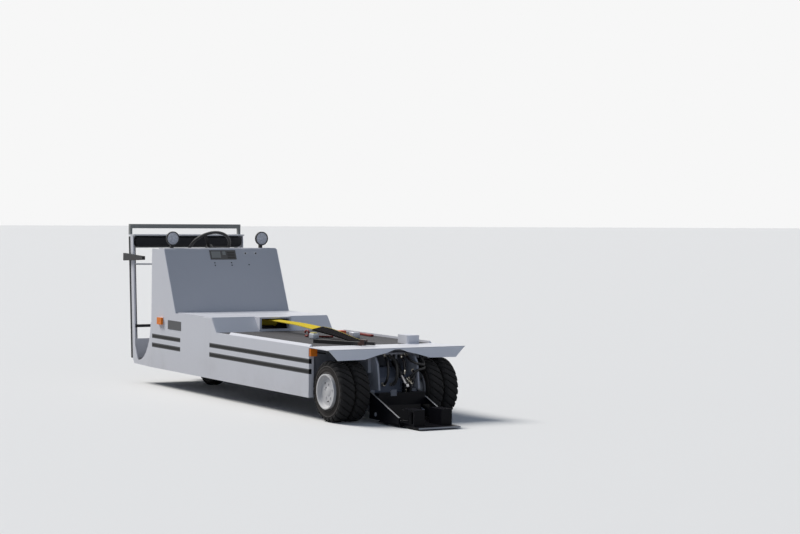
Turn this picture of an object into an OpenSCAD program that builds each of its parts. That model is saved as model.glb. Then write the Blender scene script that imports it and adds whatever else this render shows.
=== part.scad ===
/* [Body] */
// Width over the side panels
body_w = 1000; // [900:10:1150]
// Thickness of the bodywork sheet
sheet_t = 6; // [4:1:10]
// Height of the side panels' lower edge
sill_z = 150; // [120:5:180]
// Height of the deck's top
deck_z = 502; // [470:2:540]
// Width of the sloping lip between side panel and deck
bevel = 17; // [12:1:24]
// Height of the lip's top above the deck
kerb_h = 16; // [10:1:24]
// Distance of the side panels' front edge behind the drive axle
panel_gap = 205; // [200:1:240]
// Length of the side panels
panel_len = 2595; // [2500:5:2650]
// Width of the folded return at the panels' front edge
return_w = 38; // [30:1:38]

/* [Battery bay] */
// Height of the bay's top above the deck
bay_h = 108; // [98:2:130]
// Length of the battery lid
lid_len = 450; // [400:10:480]
// Running gap round the battery lid
lid_gap = 8; // [6:1:12]
// Depth of the lid's folded rim
lid_rim = 22; // [15:1:30]
// Length of the winch bay between lid and slanted front
winch_bay_len = 160; // [150:5:200]
// Length of the slanted front face, measured along the deck
slant_len = 86; // [70:2:110]
// Length of the battery pack
battery_len = 400; // [320:10:430]
// Width of the battery pack
battery_w = 860; // [700:10:900]

/* [Console] */
// Height of the console's top
console_z = 1094; // [1000:5:1150]
// Length of the console's level top
console_top = 115; // [105:5:140]
// Length of the sloping dash behind the top
dash_len = 104; // [90:2:120]
// Drop of the sloping dash
dash_drop = 92; // [80:2:110]
// Diameter of a headlamp
lamp_d = 97; // [85:1:120]
// Depth of a headlamp
lamp_depth = 56; // [50:2:70]
// Height of a headlamp's centre above the console
lamp_rise = 84; // [75:1:110]
// Distance between the headlamps
lamp_gap = 790; // [600:10:840]
// Diameter of the steering wheel
steer_wheel_d = 370; // [320:5:380]
// Thickness of the steering wheel's rim
steer_rim_t = 24; // [18:1:30]
// Angle of the steering column from upright
column_tilt = 47; // [40:1:52]
// Length of the column above the dash
column_len = 74; // [68:2:100]

/* [Operator stand] */
// Length of the operator stand
stand_len = 345; // [300:5:420]
// Height of the operator floor
floor_z = 196; // [180:2:215]
// Height of the rear panel's top edge
rear_panel_z = 352; // [300:4:400]
// Height of the posts' tops
post_z = 1186; // [1150:2:1250]
// Width of a rear post
post_w = 48; // [40:2:64]
// Distance by which the posts' tops lean back
post_lean = 79; // [60:1:100]
// Height of the top rail's centre above the posts
rail_rise = 75.5; // [50:0.5:120]
// Side of the square top rail
rail_t = 34; // [28:2:44]
// Height of the backrest pad
pad_h = 92; // [80:2:100]
// Thickness of the backrest pad
pad_t = 52; // [40:2:65]
// Height of the backrest pad's lower edge
pad_z = 1091; // [1040:1:1092]
// Length of a side arm
arm_len = 373; // [300:1:430]

/* [Wheels] */
// Outer diameter of a drive tyre, over its lugs
tyre_d = 420; // [400:5:426]
// Width of a drive tyre
tyre_w = 110; // [95:1:112]
// Gap between twin tyres
twin_gap = 10; // [6:1:14]
// Distance of the outer tyres' faces from the middle plane
track_half = 471; // [460:1:476]
// Outer diameter of the wheel flanges
rim_d = 242; // [220:2:260]
// Distance by which the wheels' barrels stand out of the outer tyres
lip_out = 15; // [4:1:20]
// Diameter of the steered tyre
steer_tyre_d = 380; // [340:5:385]
// Width of the steered tyre
steer_tyre_w = 112; // [90:2:130]
// Distance of the steered wheel behind the drive axle
wheelbase = 2700; // [2600:10:2710]

/* [Front] */
// Distance of the front plate ahead of the drive axle
front_reach = 150; // [140:2:180]
// Half width of the front fender at its front plate
fender_half = 550; // [530:5:580]
// Rise of the fender's top from deck to front plate
fender_rise = 5; // [2:1:12]
// Depth of the front plate at its outer ends
front_depth = 76; // [60:2:90]
// Distance of the frame horns' inner faces from the middle plane
horn_in = 152; // [145:1:160]
// Width of a frame horn
horn_w = 38; // [34:1:42]
// Thickness of a horn's plate
horn_t = 14; // [10:1:18]

/* [Cradle] */
// Distance of the scoop's front edge ahead of the drive axle
lip_reach = 700; // [660:5:740]
// Height of the scoop above the floor
lip_clear = 10; // [6:1:16]
// Thickness of the scoop's floor plate
lip_t = 10; // [8:1:14]
// Half width of the scoop
scoop_half = 164; // [150:2:180]
// Width of each guide housing beside the nose wheel
guide_w = 84; // [60:2:90]
// Height of a guide housing
guide_h = 118; // [90:2:130]
// Distance of the cradle pivot ahead of the drive axle
pivot_x = 195; // [185:2:215]
// Height of the cradle pivot
pivot_z = 62; // [56:1:75]
// Diameter of the pivot pins
pivot_d = 28; // [20:1:34]
// Diameter of the lift cylinder's barrel
barrel_d = 46; // [38:1:52]
// Diameter of the lift cylinder's rod
rod_d = 24; // [16:1:28]

/* [Rear hitch] */
// Diameter of the towing pin
hitch_pin_d = 25; // [19:1:28]
// Gap between the towing jaw's plates
hitch_gap = 40; // [30:1:50]

/* [Hidden] */
$fn = 48;

// Places along the machine, from the drive axle, positive forward
panel_front = -panel_gap;
panel_rear = panel_front - panel_len;
stand_rear = panel_rear - stand_len;
rail_x = stand_rear - post_lean - 19;
rail_z = post_z + rail_rise;
arm_rear = rail_x - 62;
axle_x = (-arm_rear - lip_reach) / 2;
steer_x = -wheelbase;
lid_clear = 17;

// Body heights and half widths
half_w = body_w / 2;
inner_half = half_w - sheet_t;
bevel_z = deck_z - 1;
kerb_z = deck_z + kerb_h;
kerb_rear = -1431;
kerb_top = 6;
kerb_half = half_w - bevel;
deck_half = kerb_half;
bay_z = deck_z + bay_h;
dash_z = console_z - dash_drop;
dash_rear = panel_rear + sheet_t;
dash_front = dash_rear + dash_len;
console_front = dash_front + console_top;
console_run = 0.46;
console_foot = console_front + console_run * (console_z - bay_z);
lid_rear = console_foot + lid_clear;
lid_front = lid_rear + lid_len;
bay_front = lid_front + winch_bay_len;
slant_foot = bay_front + slant_len;
bulkhead_x = -255;

// Wheels
axle_z = tyre_d / 2;
steer_z = steer_tyre_d / 2;
inner_face = track_half - 2 * tyre_w - twin_gap;
tube_d = 84;
hub_d = 120;
axle_end_y = inner_face - 12;
spigot_d = 50;
spigot_len = 90;
fit = 0.3;

// Front
fender_z = deck_z + fender_rise;
arch_z = fender_z - 8;
horn_top = 452;
horn_low = 222;
horn_rear = bulkhead_x;

// Cradle
cradle_back = pivot_x - 40;
beam_top = 206;
beam_h = 86;
wedge_back = pivot_x - 82;
scoop_rear = pivot_x + 20;
wedge_in = 186;
wedge_t = 12;
wedge_len = 340;
wedge_nose = cradle_back + wedge_len;
cradle_low = lip_clear + lip_t;
lug_x = pivot_x - 18;
lug_z = 246;
lift_y = 56;
anchor_x = -18;
anchor_z = 430;
lift_run = lug_x - anchor_x;
lift_drop = anchor_z - lug_z;
lift_angle = atan2(lift_drop, lift_run);
lift_len = sqrt(lift_run * lift_run + lift_drop * lift_drop);
eye_d = 36;
pin_d = 16;
eye_w = 20;
eye_play = 1.3;
ear_t = 12;
ear_y = max(eye_w, rod_d) / 2 + 2 + ear_t / 2;
bracket_in = 152;
bracket_t = 28;
lift_top = horn_top;

// Colours
c_white = [0.78, 0.78, 0.80];
c_shade = [0.52, 0.54, 0.60];
c_deck = [0.34, 0.34, 0.36];
c_black = [0.07, 0.07, 0.08];
c_dark = [0.20, 0.20, 0.22];
c_tyre = [0.13, 0.13, 0.13];
c_rim = [0.82, 0.81, 0.76];
c_chrome = [0.75, 0.76, 0.78];
c_orange = [0.85, 0.36, 0.06];
c_yellow = [0.88, 0.74, 0.12];
c_glass = [0.86, 0.88, 0.90];
c_pad = [0.11, 0.12, 0.13];

// Moves a piece from the drive axle's place to the part's own origin
module at_axle() {
    translate([axle_x, 0, 0]) children();
}

// Plate in the length and height plane, from y to y + t
module long_plate(y, t) {
    translate([0, y + t, 0]) rotate([90, 0, 0]) linear_extrude(t) children();
}

// Plate in the width and height plane, from x to x + t
module cross_plate(x, t) {
    translate([x, 0, 0]) rotate([90, 0, 90]) linear_extrude(t) children();
}

// Block from its lowest to its highest corner
module block(low, high) {
    translate(low) cube(high - low);
}

// Cylinder along y, its middle at the given place
module y_cylinder(place, d, w) {
    translate(place) rotate([90, 0, 0]) cylinder(d = d, h = w, center = true);
}

// Children on the right and, mirrored, on the left
module both_sides() {
    children();
    mirror([0, 1, 0]) children();
}

// Outline of a side panel: sill, bevel line, slanted bay front, bay top, console
module side_outline() {
    polygon([
        [panel_front, sill_z], [panel_front, bevel_z],
        [slant_foot, bevel_z], [bay_front, bay_z - sheet_t],
        [console_foot, bay_z - sheet_t], [console_front, console_z],
        [panel_rear, console_z], [panel_rear, sill_z]
    ]);
}

// One side panel with its raised lip, front return, deck and sill flanges, on the right
module side_panel() {
    flange = 34;
    low = bevel_z - 2 * sheet_t;
    long_plate(-half_w, sheet_t) side_outline();
    cross_plate(kerb_rear, panel_front - kerb_rear) polygon([
        [-half_w, bevel_z], [-kerb_half, kerb_z], [-kerb_half + kerb_top, kerb_z],
        [-kerb_half + kerb_top, deck_z + fit], [-half_w + sheet_t, deck_z + fit], [-half_w, low]
    ]);
    block([slant_foot + 2, -half_w, low], [kerb_rear, -deck_half, bevel_z]);
    cross_plate(panel_front - sheet_t, sheet_t) polygon([
        [-half_w, sill_z], [-half_w + return_w, sill_z], [-half_w + return_w, deck_z - sheet_t],
        [-deck_half, deck_z - sheet_t], [-deck_half, bevel_z], [-half_w, bevel_z]
    ]);
    block([panel_rear, -half_w, sill_z], [panel_front, -half_w + flange, sill_z + sheet_t]);
    block([lid_rear, -inner_half, bay_z - lid_rim - 30], [lid_front, -inner_half + 26, bay_z - lid_rim - fit]);
}

module side_panel_right() {
    color(c_white) at_axle() side_panel();
}

module side_panel_left() {
    color(c_white) at_axle() mirror([0, 1, 0]) side_panel();
}

// Frame: horns, bulkhead, side rails, cross members, steering head
rail_in = 424;
side_rail_w = 56;
side_rail_z = sill_z + sheet_t;
side_rail_h = 96;
cross_w = 60;
head_z = steer_tyre_d + 34;
head_t = 16;
head_d = 190;
head_bore = 60;
rail_rear = dash_rear + sheet_t;
pan_hole = 60;
rib_x = [-1230, -720];

// Section that fits between the side panels below the deck and its bevels
module under_deck(low) {
    polygon([
        [-inner_half, low], [-inner_half, deck_z - 3 * sheet_t], [-deck_half, deck_z - sheet_t],
        [deck_half, deck_z - sheet_t], [inner_half, deck_z - 3 * sheet_t], [inner_half, low]
    ]);
}

// Plate from the horn down round the axle and forward to the cradle's pivot pin
module pivot_bracket() {
    long_plate(-bracket_in - bracket_t, bracket_t) polygon([
        [-70, horn_low], [-70, axle_z - 60], [-40, axle_z - 90], [pivot_x - 60, pivot_z - 26],
        [pivot_x + 22, pivot_z - 26], [pivot_x + 26, pivot_z + 22], [pivot_x - 50, pivot_z + 44],
        [pivot_x - 92, pivot_z + 62], [pivot_x - 95, horn_low]
    ]);
    y_cylinder([pivot_x, -(bracket_in + wedge_in + wedge_t + 2) / 2, pivot_z], pivot_d,
        wedge_in + wedge_t + 2 - bracket_in);
}

// Frame horn: a plate with a curved front edge and the box behind it
module horn() {
    long_plate(-horn_in - horn_t, horn_t) polygon([
        [horn_rear, horn_low], [front_reach + 28, horn_low], [front_reach + 16, 300], [front_reach, 400],
        [119, 440], [104, horn_top], [horn_rear, horn_top]
    ]);
    long_plate(-horn_in - horn_w, horn_w) polygon([
        [horn_rear, horn_low], [-60, horn_low], [-60, 335], [72, 335], [72, horn_top], [horn_rear, horn_top]
    ]);
}

module chassis_frame() {
    color(c_dark) at_axle() difference() {
        union() {
            both_sides() {
                horn();
                block([rail_rear, -rail_in - side_rail_w, side_rail_z],
                    [bulkhead_x, -rail_in, side_rail_z + side_rail_h]);
                pivot_bracket();
            }
            block([lid_rear - 40 - cross_w, -rail_in - 30, sill_z], [lid_front + 10 + cross_w, rail_in + 30, side_rail_z]);
            block([anchor_x - 60, -horn_in - horn_w, horn_top], [anchor_x + 50, horn_in + horn_w, horn_top + 12]);
            for (s = [-1, 1]) {
                block([anchor_x - 22, lift_y + s * ear_y - ear_t / 2, anchor_z - 22],
                    [anchor_x + 22, lift_y + s * ear_y + ear_t / 2, horn_top]);
            }
            y_cylinder([anchor_x, lift_y, anchor_z], pin_d - 2 * fit, 2 * ear_y + ear_t);
            cross_plate(bulkhead_x - 10, 10) under_deck(side_rail_z);
            for (x = rib_x) {
                cross_plate(x - cross_w, cross_w) under_deck(deck_z - sheet_t - 50);
            }
            for (x = [-980, lid_front + 10 + cross_w, lid_rear - 40]) {
                block([x - cross_w, -rail_in, side_rail_z], [x, rail_in, side_rail_z + side_rail_h / 2]);
            }
            block([rail_rear, -rail_in, head_z], [steer_x + head_d / 2, rail_in, head_z + head_t]);
            translate([steer_x, 0, head_z]) cylinder(d = head_bore + 50, h = 70);
            both_sides() {
                block([rail_rear, -rail_in, side_rail_z + side_rail_h / 2],
                    [steer_x + head_d / 2, -rail_in + 10, head_z + head_t]);
            }
            for (x = rib_x) {
                both_sides() {
                    block([x - cross_w, -rail_in - side_rail_w, side_rail_z],
                        [x - cross_w + 10, -rail_in, deck_z - sheet_t - 50]);
                }
            }
        }
        y_cylinder([0, 0, axle_z], tube_d, 2 * inner_half);
        translate([steer_x, 0, head_z - 1]) cylinder(d = head_bore, h = 80);
        for (y = [-250, 0, 250]) {
            translate([(lid_rear + lid_front) / 2, y, sill_z - 1]) cylinder(d = pan_hole, h = sheet_t + 2);
        }
    }
}

module battery_pack() {
    mid = (lid_rear + lid_front) / 2;
    color(c_dark) at_axle()
        block([mid - battery_len / 2, -battery_w / 2 + 40, side_rail_z],
            [mid + battery_len / 2, battery_w / 2 - 40, bay_z - lid_rim - 24]);
}

// Deck between the side lips, straight across at the front
module deck_plate() {
    color(c_deck) at_axle()
        block([lid_front + 20, -deck_half + fit, deck_z - sheet_t + fit], [panel_front, deck_half - fit, deck_z]);
}

// Arched front plate, the apron that joins it to the deck, and a raised housing
housing_x = [-330, panel_front + 12];
housing_y = [285, 390];
housing_h = 60;
module front_fender() {
    color(c_white) at_axle() {
        translate([housing_x[0], housing_y[0], deck_z]) linear_extrude(housing_h)
            offset(r = 14) offset(delta = -14) square([housing_x[1] - housing_x[0], housing_y[1] - housing_y[0]]);
        intersection() {
            long_plate(-fender_half, 2 * fender_half) polygon([
                [panel_front, deck_z - sheet_t], [panel_front, deck_z],
                [front_reach, fender_z], [front_reach, fender_z - sheet_t]
            ]);
            linear_extrude(fender_z + 1) polygon([
                [panel_front, -half_w], [front_reach, -fender_half],
                [front_reach, fender_half], [panel_front, half_w]
            ]);
        }
        cross_plate(front_reach - sheet_t, sheet_t) polygon([
            [-fender_half, fender_z], [-fender_half + front_depth, fender_z - front_depth],
            [-262, fender_z - front_depth + 2], [-150, fender_z - 44], [-83, fender_z - 31], [-52, fender_z - 20],
            [-22, fender_z - 10], [22, fender_z - 10], [52, fender_z - 20], [83, fender_z - 31],
            [150, fender_z - 44], [262, fender_z - front_depth + 2],
            [fender_half - front_depth, fender_z - front_depth], [fender_half, fender_z]
        ]);
    }
}

// Hook bar that lies on the deck: bar, clevis and end piece
bar_ends = [[-506, -294], [-160, -112], [-127, -90], [-83, -45]];
module strap_bar() {
    bar_w = 25;
    lifts = fender_z - deck_z + 0.5;
    color(c_black) at_axle() {
        bar_piece(bar_ends[0], bar_ends[1], bar_w, 0.8, bar_w);
        bar_piece(bar_ends[1], bar_ends[2], 44, lifts, 38);
        bar_piece(bar_ends[2], bar_ends[3], 30, lifts + 2, 22);
    }
}

// Straight block on the deck from one place to the next
module bar_piece(a, b, w, low, h) {
    run = b - a;
    translate([a[0], a[1], deck_z + low]) rotate([0, 0, atan2(run[1], run[0])])
        translate([0, -w / 2, 0]) cube([norm(run), w, h]);
}

// Hinge of the battery lid at the console's foot
knuckle_d = 12;
knuckle_w = 30;
hinge_pin_d = 6;
hinge_x = lid_rear - knuckle_d / 2 - fit;
hinge_z = bay_z - 7;
hinge_y = [-300, 300];

// Console: inclined front, level top, folded rim
module console_shell() {
    rim = 8;
    color(c_shade) at_axle() long_plate(-inner_half, 2 * inner_half) polygon([
        [console_foot, bay_z], [console_front, console_z], [console_front - rim, console_z + rim],
        [dash_front, console_z + rim], [dash_front, console_z], [console_front - sheet_t, console_z],
        [console_foot - sheet_t, bay_z - 40], [console_foot, bay_z - 40]
    ]);
    color(c_shade) at_axle() for (y = hinge_y) {
        for (s = [-1, 1]) {
            y_cylinder([hinge_x, y + s * (knuckle_w + fit), hinge_z], knuckle_d, knuckle_w);
            translate([console_foot - sheet_t, y + s * (knuckle_w + fit) - knuckle_w / 2, hinge_z - 3])
                cube([hinge_x - console_foot + sheet_t, knuckle_w, 6]);
        }
        y_cylinder([hinge_x, y, hinge_z], hinge_pin_d - 2 * fit, 2.2 * knuckle_w);
    }
}

// Dash that slopes to the operator, and the wall below it with the wheel's hump
column_d = 56;
boot_d = 90;
hump_rear = steer_x - steer_tyre_d / 2 - 30;
hump_half = 186;
module dash_panel() {
    color(c_shade) at_axle() difference() {
        union() {
            long_plate(-inner_half, 2 * inner_half) polygon([
                [dash_front, console_z - sheet_t], [dash_front, console_z],
                [dash_rear, dash_z], [dash_rear, floor_z], [dash_rear + sheet_t, floor_z],
                [dash_rear + sheet_t, dash_z - 2]
            ]);
            block([hump_rear - sheet_t, -hump_half - sheet_t, floor_z], [dash_rear + 1, hump_half + sheet_t, head_z]);
        }
        block([hump_rear, -hump_half, floor_z - 1], [dash_rear + sheet_t + 1, hump_half, head_z - 4]);
        on_column() translate([0, 0, -30]) cylinder(d = column_d, h = 60);
    }
}

// Fixed cover over the winch bay with the slanted front and the hood round its strap opening
slot_half = 119;
hood_half = 136;
slot_low = 18;
slot_top = bay_h - 12;
module bay_cover() {
    color(c_shade) at_axle() {
        difference() {
            long_plate(-inner_half, 2 * inner_half) polygon([
                [lid_front + lid_gap, bay_z - sheet_t], [lid_front + lid_gap, bay_z], [bay_front, bay_z],
                [slant_foot, deck_z], [slant_foot - sheet_t, deck_z], [bay_front - 3, bay_z - sheet_t]
            ]);
            block([bay_front - 20, -slot_half, deck_z - 1], [slant_foot + 20, slot_half, deck_z + slot_top]);
        }
        both_sides() long_plate(-hood_half, hood_half - slot_half) polygon([
            [bay_front - 2, bay_z - sheet_t], [bay_front - 2, bay_z], [slant_foot, bay_z], [slant_foot, deck_z + 12],
            [slant_foot - 4, deck_z + 4], [slant_foot - 12, deck_z], [slant_foot - 24, deck_z]
        ]);
        block([bay_front - 2, -hood_half, bay_z - sheet_t], [slant_foot, hood_half, bay_z]);
        block([slant_foot - sheet_t, -hood_half + 1, deck_z + slot_top], [slant_foot, hood_half - 1, bay_z]);
        block([slant_foot - 20, -slot_half - 1, deck_z], [slant_foot, slot_half + 1, deck_z + slot_low]);
    }
}

module battery_lid() {
    side = inner_half - lid_gap;
    color(c_white) at_axle() difference() {
        block([lid_rear, -side, bay_z - lid_rim], [lid_front, side, bay_z]);
        block([lid_rear + sheet_t, -side + sheet_t, bay_z - lid_rim - 1],
            [lid_front - sheet_t, side - sheet_t, bay_z - sheet_t]);
    }
    color(c_white) at_axle() difference() {
        for (y = hinge_y) {
            y_cylinder([hinge_x, y, hinge_z], knuckle_d, knuckle_w);
            translate([hinge_x, y - knuckle_w / 2, hinge_z - 3]) cube([lid_rear - hinge_x, knuckle_w, 6]);
        }
        y_cylinder([hinge_x, 0, hinge_z], hinge_pin_d, 2 * inner_half);
        block([lid_rear, -inner_half, 0], [lid_rear + 20, inner_half, bay_z + 10]);
    }
}

// Rear corner: gusset with the step-in cut, and the leaning post
step_bottom = 188;
cut_rx = 232;
cut_rz = 320;
cut_x = stand_rear + 100;
cut_z = step_bottom + cut_rz;
function post_x(z) = stand_rear - post_lean * (z - sill_z) / (post_z - sill_z);
post_flange = 34;
seat = 0.1;

// Strip that follows the leaning post, from its rear edge plus a to plus b
module along_post(a, b, low, high) {
    polygon([[post_x(low) + a, low], [post_x(high) + a, high], [post_x(high) + b, high], [post_x(low) + b, low]]);
}

module rear_corner() {
    arc = [for (a = [-90 : 10 : 0]) [cut_x + cut_rx * cos(a), cut_z + cut_rz * sin(a)]];
    long_plate(-half_w, sheet_t) difference() {
        polygon([
            [panel_rear, sill_z], [panel_rear, cut_z], [post_x(cut_z) + post_w, cut_z],
            [post_x(post_z) + post_w, post_z], [post_x(post_z), post_z],
            [post_x(sill_z + 40), sill_z + 40], [stand_rear + 28, sill_z + 6]
        ]);
        polygon(concat(arc, [[cut_x + cut_rx + 50, cut_z + 1], [post_x(cut_z) + post_w, cut_z + 1],
            [post_x(300) + post_w, 300], [cut_x - 12, step_bottom + 12]]));
    }
    long_plate(-half_w, post_flange) along_post(0, sheet_t, sill_z + 40, post_z);
}

module rear_corner_right() {
    color(c_white) at_axle() rear_corner();
}

module rear_corner_left() {
    color(c_white) at_axle() mirror([0, 1, 0]) rear_corner();
}

module rear_panel() {
    color(c_shade) at_axle() long_plate(-inner_half, 2 * inner_half)
        along_post(sheet_t + seat, 2 * sheet_t, sill_z + 10, rear_panel_z);
}

module operator_floor() {
    color(c_deck) at_axle() difference() {
        block([post_x(floor_z - sheet_t) + 2 * sheet_t, -inner_half, floor_z - sheet_t], [dash_rear, inner_half, floor_z]);
        block([hump_rear, -hump_half, 0], [dash_rear + 1, hump_half, floor_z + 1]);
    }
}

// Top rail on two upright legs, the cap bar over the posts, the pad's back plate, the middle bar
cap_t = 10;
leg_w = 18;
mid_bar_z = 949;
mid_bar_t = 12;
module rear_rail() {
    cap_front = post_x(pad_z) + 2 * sheet_t + pad_t;
    color(c_dark) at_axle() {
        block([rail_x - rail_t / 2, -half_w, rail_z - rail_t / 2], [rail_x + rail_t / 2, half_w, rail_z + rail_t / 2]);
        both_sides() block([rail_x - rail_t / 2, -half_w, post_z], [rail_x + rail_t / 2, -half_w + leg_w, rail_z]);
        block([rail_x - rail_t / 2, -half_w, post_z], [cap_front, half_w, post_z + cap_t]);
        block([post_x(pad_z) + sheet_t, -inner_half + 28, pad_z - 4],
            [post_x(pad_z) + 2 * sheet_t, inner_half - 28, post_z + 1]);
        block([post_x(mid_bar_z + mid_bar_t) + sheet_t + 1, -inner_half + fit, mid_bar_z],
            [post_x(mid_bar_z) + post_w - 8, inner_half - fit, mid_bar_z + mid_bar_t]);
    }
}

bumper_w = 44;
bumper_t = 34;
module corner_bumpers() {
    color(c_black) at_axle() both_sides()
        long_plate(-half_w, bumper_w) along_post(-bumper_t, -seat, sill_z + 46, post_z - 8);
}

module lower_bar() {
    d = 24;
    z = 456;
    color(c_black) at_axle() translate([post_x(z) + 30, 0, z]) rotate([90, 0, 0])
        cylinder(d = d, h = 2 * inner_half, center = true);
}

module backrest_pad() {
    low = post_x(pad_z) + 2 * sheet_t + fit;
    color(c_pad) at_axle() translate([low, 0, pad_z]) linear_extrude(pad_h)
        offset(r = 16) offset(delta = -16) translate([0, -half_w + 16]) square([pad_t, body_w - 32]);
}

module side_arms() {
    t = 26;
    z = 980;
    color(c_black) at_axle() both_sides() long_plate(-half_w - t, t) polygon([
        [arm_rear + 8, z], [arm_rear, z + 6], [arm_rear, z + 61], [arm_rear + 0.64 * arm_len, z + 52],
        [arm_rear + arm_len, z + 48], [arm_rear + arm_len, z + 19], [arm_rear + 0.69 * arm_len, z + 12]
    ]);
}

module pedals() {
    color(c_black) at_axle() for (y = [-330, -250]) {
        translate([panel_rear - 70, y, floor_z]) rotate([0, -28, 0]) cube([70, 56, 10]);
    }
}

module lamp_place() {
    x = dash_front + lamp_depth / 2;
    for (s = [-1, 1]) {
        translate([x, s * lamp_gap / 2, console_z + lamp_rise]) rotate([0, 90, 0]) children();
    }
}

module headlamp_shells() {
    wall = 7;
    color(c_black) at_axle() {
        lamp_place() {
            rotate_extrude() polygon([
                [0, -lamp_depth / 2], [lamp_d * 0.28, -lamp_depth / 2], [lamp_d / 2 + wall, lamp_depth / 2 - 18],
                [lamp_d / 2 + wall, lamp_depth / 2], [lamp_d / 2, lamp_depth / 2], [lamp_d / 2, lamp_depth / 2 - 14],
                [0, lamp_depth / 2 - 14]
            ]);
        }
        lamp_place() {
            translate([lamp_d / 2, -12, -12]) cube([lamp_rise - lamp_d / 2 - 8, 24, 24]);
        }
    }
}

module headlamp_lenses() {
    color(c_glass) at_axle() lamp_place() rotate_extrude() polygon([
        [0, lamp_depth / 2 - 14], [lamp_d / 2 - fit, lamp_depth / 2 - 14], [lamp_d / 2 - fit, lamp_depth / 2 - 4],
        [lamp_d / 4, lamp_depth / 2], [0, lamp_depth / 2 + 1]
    ]);
}

module marker_lamps() {
    color(c_orange) at_axle() both_sides() {
        block([panel_rear + 144, -half_w - 20, deck_z], [panel_rear + 224, -half_w, deck_z + 54]);
        block([panel_front, -half_w, bevel_z - 64], [panel_front + 22, -half_w + return_w + 14, bevel_z - 11]);
    }
}

// Steering column and wheel on one tilted axis
spindle_d = 22;
module on_column() {
    translate([(dash_rear + dash_front) / 2, 0, (console_z + dash_z) / 2]) rotate([0, -column_tilt, 0]) children();
}

module steering_column() {
    color(c_black) at_axle() {
        difference() {
            on_column() translate([0, 0, -12]) cylinder(d = boot_d, h = 24);
            long_plate(-boot_d, 2 * boot_d) polygon([
                [dash_rear - 40, dash_z - 40 * dash_drop / dash_len], [dash_front, console_z],
                [dash_front, dash_z - 80], [dash_rear - 40, dash_z - 80]
            ]);
        }
        on_column() {
            translate([0, 0, -20]) cylinder(d = column_d, h = column_len - 26 + 20);
            cylinder(d = spindle_d - 2 * fit, h = column_len + 4);
        }
    }
}

module steering_wheel() {
    color(c_black) at_axle() on_column() translate([0, 0, column_len]) {
        rotate_extrude() translate([steer_wheel_d / 2 - steer_rim_t / 2, 0]) circle(d = steer_rim_t);
        rotate_extrude() polygon([
            [spindle_d / 2, -24], [32, -24], [32, 10], [0, 10], [0, 4 + fit], [spindle_d / 2, 4 + fit]
        ]);
        for (a = [90, 210, 330]) {
            rotate([0, 0, a]) translate([20, -12, -4]) cube([steer_wheel_d / 2 - steer_rim_t / 2 - 20, 24, 8]);
        }
        rotate([0, 0, 150]) translate([steer_wheel_d / 2 - steer_rim_t / 2, 0, 0]) rotate_extrude() polygon([
            [0, 0], [7, 0], [7, 28], [16, 32], [20, 42], [18, 54], [10, 62], [0, 64]
        ]);
    }
}

// Winch behind the slot
winch_x = bay_front - 84;
winch_z = deck_z + 60;
drum_half = 84;
module winch_frame() {
    color(c_black) at_axle() {
        block([winch_x - 52, -drum_half - 20, deck_z], [winch_x + 52, drum_half + 20, deck_z + 6]);
        difference() {
            both_sides() block([winch_x - 40, -drum_half - 18, deck_z], [winch_x + 40, -drum_half - 8, deck_z + 96]);
            y_cylinder([winch_x, 0, winch_z], 24, 400);
        }
        difference() {
            y_cylinder([winch_x, drum_half + 88, winch_z], 74, 140);
            y_cylinder([winch_x, drum_half + 18, winch_z], 25, 30);
        }
    }
}

module winch_drum() {
    color(c_yellow) at_axle() translate([winch_x, 0, winch_z]) rotate([90, 0, 0]) rotate_extrude() polygon([
        [0, -drum_half - 17], [11.5, -drum_half - 17], [11.5, -drum_half], [34, -drum_half], [34, -drum_half + 4],
        [27, -drum_half + 4], [27, drum_half - 4], [34, drum_half - 4], [34, drum_half], [11.5, drum_half],
        [11.5, drum_half + 17], [0, drum_half + 17]
    ]);
}

// Strap from the drum out over the deck, and the sleeve that covers its end down to the hook bar
strap_t = 5;
strap_half = 38;
strap_path = [[winch_x, winch_z + 27.6], [slant_foot, deck_z + 81.5], [-1300, deck_z + 76.5], [-955, deck_z + 60.1]];
sleeve_path = [[-985, deck_z + 58], [-865, deck_z + 52], [-720, deck_z + 39], [-580, deck_z + 24], [-400, deck_z]];
sleeve_half = 46;
sleeve_t = 12;

// Band of one thickness along a path in the length and height plane
module band(path, t) {
    n = len(path) - 1;
    polygon(concat(path, [for (i = [n : -1 : 0]) path[i] + [0, t]]));
}

module winch_strap() {
    color(c_yellow) at_axle() long_plate(-strap_half, 2 * strap_half) band(strap_path, strap_t);
}

module strap_sleeve() {
    mouth = sleeve_path[0];
    color(c_black) at_axle() difference() {
        union() {
            long_plate(-sleeve_half, 2 * sleeve_half) band(sleeve_path, sleeve_t);
            translate([0, 0, deck_z + fit]) linear_extrude(sleeve_t - fit) polygon([
                [-402, sleeve_half], [-380, sleeve_half], [-205, -40], [-196, -92], [-206, -112],
                [-240, -125], [-400, -sleeve_half], [-402, -sleeve_half]
            ]);
        }
        long_plate(-strap_half - fit, 2 * (strap_half + fit))
            band([mouth + [-1, 3.2], mouth + [31, 1.7]], strap_t + 0.9);
    }
}

// Drive axle through the frame horns, gearbox and motor behind it
module drive_axle() {
    color(c_shade) at_axle() {
        y_cylinder([0, 0, axle_z], tube_d - fit, 2 * axle_end_y);
        y_cylinder([0, 0, axle_z], spigot_d - 2 * fit, 2 * (axle_end_y + spigot_len));
        long_plate(-horn_in, 2 * horn_in) polygon([
            [-120, axle_z - 60], [-120, axle_z + 150], [-20, axle_z + 150], [46, axle_z + 84], [46, axle_z - 60]
        ]);
    }
}

module drive_motor() {
    color(c_dark) at_axle() {
        translate([-120, 0, axle_z + 30]) rotate([0, -90, 0]) cylinder(d = 200, h = -bulkhead_x - 120);
    }
}

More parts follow.
